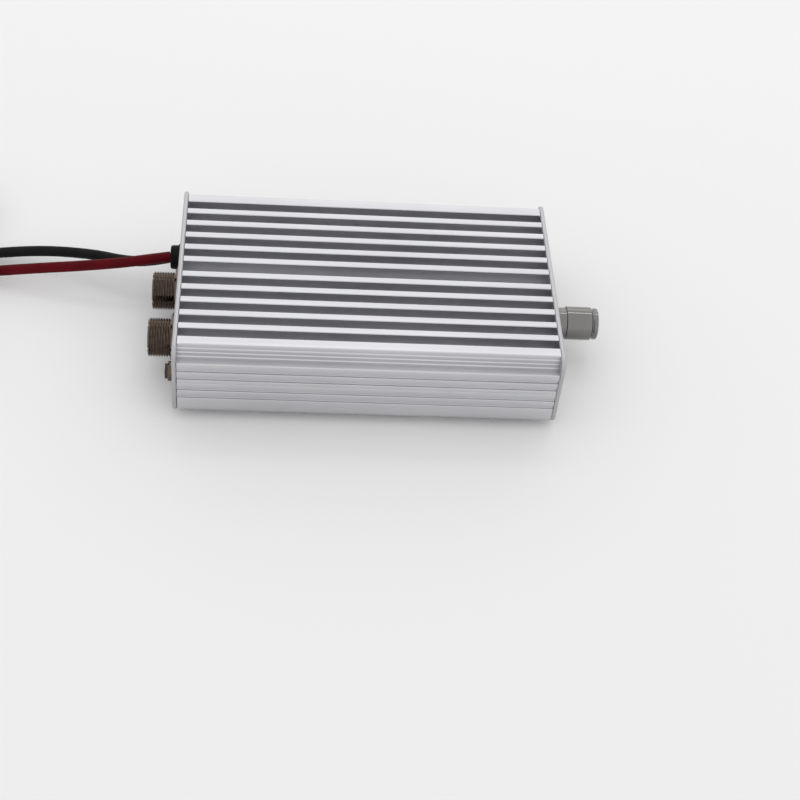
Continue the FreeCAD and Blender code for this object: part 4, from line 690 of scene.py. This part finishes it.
def hole_stack(y, z, radius, low_x, high_x, edge):
    """Rings through a round hole whose mouths are broken by a small edge."""
    stations = ((low_x, edge), (low_x + edge, 0.0), (high_x - edge, 0.0), (high_x, edge))
    return [ring_at(circle(y, z, radius + wider), x) for x, wider in stations]


def countersunk_stack(y, z, hole, head, low_x, high_x, outward):
    """Rings through a hole with a 90 degree countersink on the outer side."""
    outer = [(0.0, head), (head - hole, hole), (high_x - low_x, hole)]
    stations = [(high_x - d if outward > 0 else low_x + d, r) for d, r in outer]
    return [ring_at(circle(y, z, r), x) for x, r in sorted(stations)]


def screw_places(node, head):
    """(y, z) of the four screws of a panel, from the box of their solids and the radius of a head."""
    low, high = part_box(node)
    return [(y, z) for y in (low.y + head, high.y - head) for z in (low.z + head, high.z - head)]


def add_panel(name, node, span, outward, stacks):
    """Plate across a span of X, with the holes in these stacks and those of its screws."""
    case, holes = bpy.context.scene.amplifier_case, bpy.context.scene.amplifier_holes
    middle, half_height = (UNDERSIDE + TOP) / 2, (TOP - UNDERSIDE) / 2
    outline = rectangle(0, middle, HALF_WIDTH, half_height, case.corner_radius, 10)
    screws = [
        countersunk_stack(y, z, holes.screw, holes.screw_head, *span, outward)
        for y, z in screw_places(f"{node}_screws", holes.screw_head - holes.screw_play)
    ]
    stacks = [panel_stack(outline, *span, case.panel_edge)] + stacks + screws
    panel = add_slab(name, stacks, "chassis", "panel_aluminium")
    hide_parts(node)


class AMPLIFIER_OT_panels(bpy.types.Operator):
    """Builds the two end panels with their holes"""

    bl_idname = "amplifier.panels"
    bl_label = "End panels"

    def execute(self, context):
        s = context.scene.amplifier_holes
        span = (REAR_OUT, REAR_IN)
        rear = [(y, s.socket) for y in SOCKET_MIDDLES.values()]
        rear += [(GLAND_Y, s.gland), (node_middle("keying_jack").y, s.jack)]
        stacks = [hole_stack(y, AXIS_Z, radius, *span, s.edge) for y, radius in rear]
        add_panel("rear_end_panel", "rear_panel", span, -1, stacks)
        span = (FRONT_IN, FRONT_OUT)
        lamp_y, offset = node_middle("indicator_lamps").y, s.lamp_spacing / 2
        front = [(KNOB_Y, AXIS_Z, s.bushing)]
        front += [(lamp_y, z, s.lamp) for z in (AXIS_Z - offset, AXIS_Z + offset)]
        stacks = [hole_stack(*hole, *span, s.edge) for hole in front]
        opening = rectangle(ROCKER_Y, AXIS_Z, s.rocker_width / 2, s.rocker_height / 2, s.rocker_corner)
        stacks.append([ring_at(opening, x) for x in span])
        add_panel("front_end_panel", "front_panel", span, 1, stacks)
        return {"FINISHED"}


# ---- marks ----
CAP_SHARE = 0.7  # height of a numeral as a share of its font's size


def band_bearings(s):
    """Bearings from straight up towards +Y, from the first band to the last."""
    return (np.arange(s.bands) - (s.bands - 1) / 2) * s.band_step


def add_ticks(s):
    """Radial bars on the front panel, one for each band."""
    stacks = []
    for bearing in band_bearings(s):
        outward = np.array([math.sin(bearing), math.cos(bearing)])
        aside = np.array([outward[1], -outward[0]]) * s.tick_width / 2
        near, far = ((KNOB_Y, AXIS_Z) + outward * reach for reach in (s.tick_start, s.tick_end))
        loop = np.array([near + aside, far + aside, far - aside, near - aside])
        stacks.append(painted(loop, FRONT_OUT, s))
    add_slab("band_ticks", stacks, "chassis", "mark_paint")


def add_numerals(s):
    """Numerals from 1 upwards on the front panel. A point (u, v, w) of a numeral's own outline, with w
    its depth, lies at (w, centre + u, centre + v), the centre being on a circle round the knob."""
    verts, faces = [], []
    for place, bearing in enumerate(band_bearings(s)):
        text = bpy.data.curves.new("numeral", "FONT")
        text.body = str(place + 1)
        text.size = s.numeral_height / CAP_SHARE
        text.align_x, text.align_y = "CENTER", "CENTER"
        text.extrude = (s.lift + s.sink) / 2
        shape = bpy.data.objects.new("numeral", text)
        mesh = bpy.data.meshes.new_from_object(shape)
        own = np.array([vertex.co for vertex in mesh.vertices])
        middle = (own.min(axis=0) + own.max(axis=0)) / 2
        y = KNOB_Y + s.numeral_radius * math.sin(bearing)
        z = AXIS_Z + s.numeral_radius * math.cos(bearing)
        first = sum(len(part) for part in verts)
        verts.append((own - middle)[:, (2, 0, 1)] + (FRONT_OUT + (s.lift - s.sink) / 2, y, z))
        faces += [[first + corner for corner in face.vertices] for face in mesh.polygons]
        bpy.data.objects.remove(shape)
        bpy.data.curves.remove(text)
        bpy.data.meshes.remove(mesh)
    scale = bpy.data.meshes.new("band_numerals")
    scale.from_pydata(np.concatenate(verts).tolist(), [], faces)
    close_mesh(scale)
    add_object("band_numerals", scale, "chassis", "mark_paint")


def add_rocker_marks(s):
    """A line on the rocker's upper half and a ring on its lower half, laid on its two slopes:
    x = fold + |height from the fold| * tan(slope)."""

    def laid(loop):
        slope = np.abs(loop[:, 1] - AXIS_Z) * math.tan(s.rocker_slope)
        return painted(loop, FRONT_OUT + s.rocker_face + slope, s)

    line = rectangle(ROCKER_Y, AXIS_Z + s.rocker_mark, s.stroke / 2, s.on_height / 2, 0)
    add_slab("rocker_on_mark", [laid(line)], "rocker", "pale_paint")
    radii = (s.off_radius, s.off_radius - s.stroke)
    rings = [laid(circle(ROCKER_Y, AXIS_Z - s.rocker_mark, radius, 40)) for radius in radii]
    add_slab("rocker_off_mark", rings, "rocker", "pale_paint")


class AMPLIFIER_OT_marks(bpy.types.Operator):
    """Paints the band knob's scale and the rocker's two marks"""

    bl_idname = "amplifier.marks"
    bl_label = "Marks"

    def execute(self, context):
        s = context.scene.amplifier_marks
        add_ticks(s)
        add_numerals(s)
        add_rocker_marks(s)
        return {"FINISHED"}


# ---- coax sockets ----
SOCKET_SIDES = 192
RINGS_PER_TURN = 14
THREAD_FLANK = (0.22, 0.86)  # shares of half a pitch between which the thread rises
FACE_GAP = 0.02 * MM


def smooth_step(value, start, end):
    """0 before start, 1 after end, and a smooth half wave between."""
    share = np.clip((value - start) / (end - start), 0.0, 1.0)
    return share * share * (3.0 - 2.0 * share)


def socket_rings(s):
    """Rings along the outside and back through the bore: (distance in front of the panel, radius, share
    of the notches), and for the thread the distance alone."""
    edge, start = s.mouth_edge, REAR_OUT - REAR_IN - s.inner_length
    back = [(start, s.bore, 0), (start, s.radius - edge, 0)]
    back += [(start + edge, s.radius, 0), (-FACE_GAP, s.radius, 0)]
    thread_start, thread_end = s.shoulder_thickness + FACE_GAP, s.reach - edge
    turns = (thread_end - thread_start) / s.thread_pitch
    thread = np.linspace(thread_start, thread_end, int(round(turns * RINGS_PER_TURN)))
    turn = np.linspace(0.2, math.pi / 2, 4)
    mouth_x = s.reach - edge * (1 - np.sin(turn))
    mouth_r = s.radius - s.thread_depth - edge * (1 - np.cos(turn))
    mouth = np.column_stack([mouth_x, mouth_r, np.ones(len(turn))])
    bore = [(s.reach, s.bore + edge / 2, 1), (s.reach - edge / 2, s.bore, 1), (s.reach - 3 * edge, s.bore, 0)]
    return back, thread, mouth, bore


def add_socket(name, node, y, s):
    """Threaded socket with a hexagon shoulder and a notched mouth, as one surface round the axis.

    Thread: radius = crest - depth * wave, where wave rises and falls evenly once for each pitch along
    the axis and each turn round it. Shoulder: radius = the lesser of the hexagon's, flats / 2 /
    cos(bearing from the middle of the flat), and a cone's at both faces. Mouth: the rim steps back
    where the bearing is within half a notch of a notch's middle."""
    bearing = np.linspace(0.0, 2 * math.pi, SOCKET_SIDES, endpoint=False)
    back, thread, mouth, bore = socket_rings(s)
    half_flats = s.shoulder_flats / 2
    corner = half_flats / math.cos(math.pi / 6)
    bevel, thickness = (corner - half_flats) / 2, s.shoulder_thickness
    cone = [(0.0, half_flats), (bevel, corner), (thickness - bevel, corner), (thickness, half_flats)]
    cone_x, cone_r = np.array(cone).T[:, :, None]
    from_flat = (bearing - s.shoulder_turn) % (math.pi / 3) - math.pi / 6
    shoulder_r = np.minimum(half_flats / np.cos(from_flat), cone_r)
    shoulder_x = np.broadcast_to(cone_x, shoulder_r.shape)
    spacing, half_notch = 2 * math.pi / s.notches, s.notch_width / 2
    from_notch = np.abs((bearing + spacing / 2) % spacing - spacing / 2) * s.radius
    steep = (half_notch - s.notch_flank, half_notch + s.notch_flank)
    notch = s.notch_depth * (1 - smooth_step(from_notch, *steep))

    def plain(rings):
        x, radius, share = np.array(rings, dtype=float).T[:, :, None]
        x = x - share * notch
        return x, np.broadcast_to(radius, x.shape)

    thread_x = np.broadcast_to(thread[:, None], (len(thread), SOCKET_SIDES))
    phase = (thread_x / s.thread_pitch - bearing / (2 * math.pi)) % 1.0
    wave = smooth_step(np.abs(2 * phase - 1), *THREAD_FLANK)
    rise = smooth_step(thread_x, thread[0], thread[0] + s.thread_pitch)
    thread_r = s.radius - s.thread_depth * (1 - rise + rise * wave)
    thread_x = np.minimum(thread_x, s.reach - notch - FACE_GAP)
    parts = [plain(back), (shoulder_x, shoulder_r), (thread_x, thread_r), plain(mouth), plain(bore)]
    x, radius = (np.vstack(rows) for rows in zip(*parts))
    across, up = y + radius * np.cos(bearing), AXIS_Z + radius * np.sin(bearing)
    grid = np.stack([REAR_OUT - x, across, up], axis=-1)
    socket = add_surface(name, grid, "chassis", "nickel_plate", ring=True)
    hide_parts(node)


class AMPLIFIER_OT_sockets(bpy.types.Operator):
    """Builds the two threaded coax sockets"""

    bl_idname = "amplifier.sockets"
    bl_label = "Coax sockets"

    def execute(self, context):
        for name, y in SOCKET_MIDDLES.items():
            add_socket(f"{name}_socket", f"{name}_socket_body", y, context.scene.amplifier_sockets)
        return {"FINISHED"}


# ---- knob and gland ----
class AMPLIFIER_OT_knob(bpy.types.Operator):
    """Builds the turned band knob with the line on its face"""

    bl_idname = "amplifier.knob"
    bl_label = "Band knob"

    def execute(self, context):
        s = context.scene.amplifier_knob
        rim, face, groove_end = s.radius - s.rim_step, s.length - s.dish, s.length - s.rim_width
        groove = groove_end - s.groove_width
        corners = [
            # distance, radius, rounding: the neck, the grip, the turned groove, the rim and the face
            (0, 0, 0),
            (0, s.neck_radius, 0.3 * MM),
            (s.neck_length, s.neck_radius, 0.15 * MM),
            (s.neck_length, s.radius, 0.35 * MM),
            (groove, s.radius, 0.25 * MM),
            (groove + s.groove_width / 2, s.radius - s.groove_depth, 0.3 * MM),
            (groove_end, rim, 0.15 * MM),
            (s.length, rim, s.edge),
            (s.length, rim - s.rim_face, 0.2 * MM),
            (face, rim - s.dish_margin, 0.3 * MM),
            (face, 0, 0),
        ]
        place = (FRONT_OUT + s.gap, KNOB_Y, AXIS_Z)
        add_turned("turned_band_knob", "band_knob", corners, place, 1, 128, "band_selector", "knob_aluminium")
        half_width, half_length = s.pointer_width / 2, s.pointer_length / 2
        middle = AXIS_Z + rim - s.pointer_margin - half_length
        line = rectangle(KNOB_Y, middle, half_width, half_length, 0.9 * half_width)
        add_slab("knob_pointer", [painted(line, place[0] + face, s)], "band_selector", "mark_paint")
        return {"FINISHED"}


class AMPLIFIER_OT_gland(bpy.types.Operator):
    """Builds the rubber gland that grips both leads"""

    bl_idname = "amplifier.gland"
    bl_label = "Cable gland"

    def execute(self, context):
        s = context.scene.amplifier_gland
        panel_in = REAR_OUT - REAR_IN
        back = panel_in - s.inner_length
        corners = [
            # distance, radius, rounding: the inner flange, the neck in the panel, the outer flange, the tip
            (back, 0, 0),
            (back, s.flange_radius, 0.5 * MM),
            (panel_in, s.flange_radius, 0.1 * MM),
            (panel_in, s.neck_radius, 0),
            (0, s.neck_radius, 0),
            (0, s.flange_radius, 0.1 * MM),
            (s.flange_thickness, s.flange_radius, 0.5 * MM),
            (s.flange_thickness, s.neck_radius, 0.4 * MM),
            (s.reach, s.tip_radius, 0.8 * MM),
            (s.reach, 0, 0),
        ]
        place = (REAR_OUT, GLAND_Y, AXIS_Z)
        add_turned("rubber_gland", "cable_gland", corners, place, -1, 72, "chassis", "black_rubber")
        return {"FINISHED"}


# ---- supply leads ----
# Points of each lead in millimetres, from the gland to its coil, then the middle of each coil. The points
# after the coil are given from its middle, for clockwise turns: the other lead's are their mirror image.
RED_APPROACH = (
    (-87.0, 26.9, 18.6),
    (-95.0, 25.4, 18.2),
    (-106.0, 24.0, 16.9),
    (-124.0, 24.5, 13.6),
    (-145.0, 26.7, 9.2),
    (-173.0, 28.4, 3.7),
)
BLACK_APPROACH = (
    (-87.0, 30.1, 15.4),
    (-95.0, 28.2, 14.5),
    (-106.0, 29.3, 12.9),
    (-121.0, 35.6, 10.8),
    (-145.0, 41.1, 7.0),
    (-173.0, 40.6, 3.2),
)
RED_COIL = (-201.0, 1.5)
BLACK_COIL = (-201.0, 65.0)
LEAD_END = ((-27.6, 4.5, 6.8), (-28.7, 12.0, 5.5), (-30.0, 21.0, 2.25))
COIL_TURNS = 3.25
POINTS_PER_TURN = 16
# Angles between which a lead steps to the inner turn, up to the upper layer, and back to the outer turn.
STEP_IN, STEP_UP, STEP_OUT = (250.0, 325.0), (580.0, 655.0), (880.0, 950.0)


def coil_points(centre, side, sizes):
    """Turns of a lead in its coil: the radius steps from the outer lower turn to the inner one, and back
    out on the upper layer; the height steps up once, where the radius is small. side is +1 for turns
    that run counter-clockwise from above, and -1 for clockwise ones."""
    turned_by = np.arange(COIL_TURNS * POINTS_PER_TURN) * 360.0 / POINTS_PER_TURN
    inward = smooth_step(turned_by, *STEP_IN) - smooth_step(turned_by, *STEP_OUT)
    radius = sizes.coil_radius + sizes.turn_spacing * (0.5 - inward)
    height = sizes.diameter / 2 + sizes.layer_height * smooth_step(turned_by, *STEP_UP)
    bearing = np.radians(90.0 + turned_by)
    x = centre[0] * MM + radius * np.cos(bearing)
    y = centre[1] * MM + side * radius * np.sin(bearing)
    return np.column_stack([x, y, height])


def lead_points(approach, centre, side, sizes):
    """A lead's route: from the gland to the coil, its turns, and down to the terminal's sleeve."""
    end = np.array(LEAD_END) * (1.0, -side, 1.0) + (*centre, 0.0)
    return np.vstack([np.array(approach) * MM, coil_points(centre, side, sizes), end * MM])


def add_tie(name, centre, bearing, sizes):
    """Strap round a coil's turns: a rounded rectangle about their section, swept across its width."""
    across = (sizes.turn_spacing + sizes.diameter) / 2 + sizes.tie_play
    high = sizes.layer_height + sizes.diameter + sizes.tie_play
    middle, up = (sizes.tie_lift + high) / 2, (high - sizes.tie_lift) / 2
    outer = rectangle(sizes.coil_radius, middle, across, up, sizes.diameter / 2, 8)
    inner = inset(outer, sizes.tie_thickness)
    half = sizes.tie_width / 2
    cosine, sine = math.cos(bearing), math.sin(bearing)
    grid = []
    for loop, aside in ((outer, -half), (outer, half), (inner, half), (inner, -half)):
        x = centre[0] * MM + loop[:, 0] * cosine - aside * sine
        y = centre[1] * MM + loop[:, 0] * sine + aside * cosine
        grid.append(np.column_stack([x, y, loop[:, 1]]))
    return add_surface(name, np.array(grid), "chassis", "tie_strap", ring=True)


class AMPLIFIER_OT_leads(bpy.types.Operator):
    """Builds the two supply leads with their coils"""

    bl_idname = "amplifier.leads"
    bl_label = "Supply leads"

    def execute(self, context):
        sizes = context.scene.amplifier_leads
        for name, approach, centre, side, real in (
            ("red", RED_APPROACH, RED_COIL, 1, sizes.red_length),
            ("black", BLACK_APPROACH, BLACK_COIL, -1, sizes.black_length),
        ):
            points = lead_points(approach, centre, side, sizes)
            radius, slot = sizes.diameter / 2, f"{name}_insulation"
            lead = add_spline(f"{name}_supply_lead", points, radius, "chassis", slot)
            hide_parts(f"{name}_lead", f"{name}_lead_coil", f"{name}_lead_tail")
            tie = add_tie(f"{name}_coil_tie", centre, -side * sizes.tie_bearing, sizes)
        return {"FINISHED"}


# ---- stage ----
CAMERA_TARGET = Vector((5.9, -72.2, 38.0)) * MM
STUDIO_LIGHTS = {
    # name: place and size in metres, power in watts
    "key_light": ((0.15, 1.1, 0.6), (1.8, 0.6), 1.5),
    "strip_light": ((0.08, 0.6, 1.04), (0.8, 0.06), 0.6),
}


def add_camera(settings):
    """Camera on a sphere round its target, rolled about its line of sight."""
    across, up = settings.azimuth, settings.elevation
    back = Vector((math.sin(across) * math.cos(up), -math.cos(across) * math.cos(up), math.sin(up)))
    side = Vector((0, 0, 1)).cross(back).normalized()
    above = back.cross(side)
    turn_x = side * math.cos(settings.roll) + above * math.sin(settings.roll)
    turn_y = above * math.cos(settings.roll) - side * math.sin(settings.roll)
    data = bpy.data.cameras.new("camera")
    data.lens = settings.focal
    data.sensor_width = 36.0
    camera = link_new("camera", data)
    axes = Matrix((turn_x, turn_y, back)).transposed()
    camera.matrix_world = Matrix.Translation(CAMERA_TARGET + back * settings.distance) @ axes.to_4x4()
    bpy.context.scene.camera = camera


def add_light(name, place, size, power):
    """Soft rectangular light that faces the object."""
    data = bpy.data.lights.new(name, "AREA")
    data.shape = "RECTANGLE"
    data.size, data.size_y = size
    data.energy = power
    aim = (-Vector(place)).to_track_quat("-Z", "Y").to_matrix().to_4x4()
    link_new(name, data).matrix_world = Matrix.Translation(place) @ aim


def seen_directly(tree):
    """1 on rays from the camera, from gloss or through glass, and 0 on the others."""
    path = tree.nodes.new("ShaderNodeLightPath")
    total = path.outputs["Is Camera Ray"]
    for name in ("Is Glossy Ray", "Is Transmission Ray"):
        add = tree.nodes.new("ShaderNodeMath")
        add.operation = "MAXIMUM"
        tree.links.new(total, add.inputs[0])
        tree.links.new(path.outputs[name], add.inputs[1])
        total = add.outputs["Value"]
    return total


def set_world(world_light):
    """Plain white surroundings, dimmer as a light than they look."""
    world = bpy.data.worlds.new("studio")
    bpy.context.scene.world = world
    world.use_nodes = True
    tree = world.node_tree
    background = tree.nodes["Background"]
    background.inputs["Color"].default_value = (1.0, 1.0, 1.0, 1.0)
    bright = tree.nodes.new("ShaderNodeMapRange")
    bright.inputs["To Min"].default_value = world_light
    bright.inputs["To Max"].default_value = 1.0
    tree.links.new(seen_directly(tree), bright.inputs["Value"])
    tree.links.new(bright.outputs["Result"], background.inputs["Strength"])


def add_floor(reach, base):
    """Square, matt floor that keeps the object's shadow."""
    material = bpy.data.materials.new("studio_floor")
    material.use_nodes = True
    shader = material.node_tree.nodes["Principled BSDF"]
    shader.inputs["Base Color"].default_value = (*base, 1.0)
    shader.inputs["Roughness"].default_value = 0.9
    mesh = bpy.data.meshes.new("floor")
    corners = [(-reach, -reach, 0), (reach, -reach, 0), (reach, reach, 0), (-reach, reach, 0)]
    mesh.from_pydata(corners, [], [(0, 1, 2, 3)])
    mesh.materials.append(material)
    link_new("floor", mesh)


class AMPLIFIER_OT_stage(bpy.types.Operator):
    """Sets the camera, the floor and the studio light"""

    bl_idname = "amplifier.stage"
    bl_label = "Stage"

    def execute(self, context):
        settings = context.scene.amplifier_stage
        context.scene.view_settings.view_transform = "Standard"
        add_camera(settings)
        set_world(settings.world_light)
        add_floor(settings.floor_reach, settings.floor_colour)
        for name, values in STUDIO_LIGHTS.items():
            add_light(name, *values)
        return {"FINISHED"}


OPERATORS = (
    AMPLIFIER_OT_stage,
    AMPLIFIER_OT_finishes,
    AMPLIFIER_OT_leads,
    AMPLIFIER_OT_shells,
    AMPLIFIER_OT_panels,
    AMPLIFIER_OT_marks,
    AMPLIFIER_OT_sockets,
    AMPLIFIER_OT_knob,
    AMPLIFIER_OT_gland,
)
PROPERTY_GROUPS = {
    "amplifier_colours": FinishColours,
    "amplifier_case": CaseSizes,
    "amplifier_holes": PanelHoles,
    "amplifier_marks": MarkSizes,
    "amplifier_sockets": SocketSizes,
    "amplifier_knob": KnobSizes,
    "amplifier_gland": GlandSizes,
    "amplifier_leads": LeadSizes,
    "amplifier_stage": StageSettings,
}


class AMPLIFIER_PT_panel(bpy.types.Panel):
    """Lists the amplifier's pieces and sizes"""

    bl_idname = "AMPLIFIER_PT_panel"
    bl_label = "HF linear amplifier"
    bl_space_type = "VIEW_3D"
    bl_region_type = "UI"
    bl_category = "Amplifier"

    def draw(self, context):
        for group_name in PROPERTY_GROUPS:
            group = getattr(context.scene, group_name)
            box = self.layout.box()
            for name in group.__annotations__:
                box.prop(group, name)
        for operator in OPERATORS:
            self.layout.operator(operator.bl_idname)


def register():
    for group in PROPERTY_GROUPS.values():
        bpy.utils.register_class(group)
    for name, group in PROPERTY_GROUPS.items():
        setattr(bpy.types.Scene, name, bpy.props.PointerProperty(type=group))
    for operator in OPERATORS:
        bpy.utils.register_class(operator)
    bpy.utils.register_class(AMPLIFIER_PT_panel)


def unregister():
    bpy.utils.unregister_class(AMPLIFIER_PT_panel)
    for operator in reversed(OPERATORS):
        bpy.utils.unregister_class(operator)
    for name, group in PROPERTY_GROUPS.items():
        delattr(bpy.types.Scene, name)
        bpy.utils.unregister_class(group)


def main():
    register()
    bpy.ops.amplifier.stage()
    bpy.ops.amplifier.finishes()
    bpy.ops.amplifier.leads()
    bpy.ops.amplifier.shells()
    bpy.ops.amplifier.panels()
    bpy.ops.amplifier.marks()
    bpy.ops.amplifier.sockets()
    bpy.ops.amplifier.knob()
    bpy.ops.amplifier.gland()


if __name__ == "__main__":
    main()
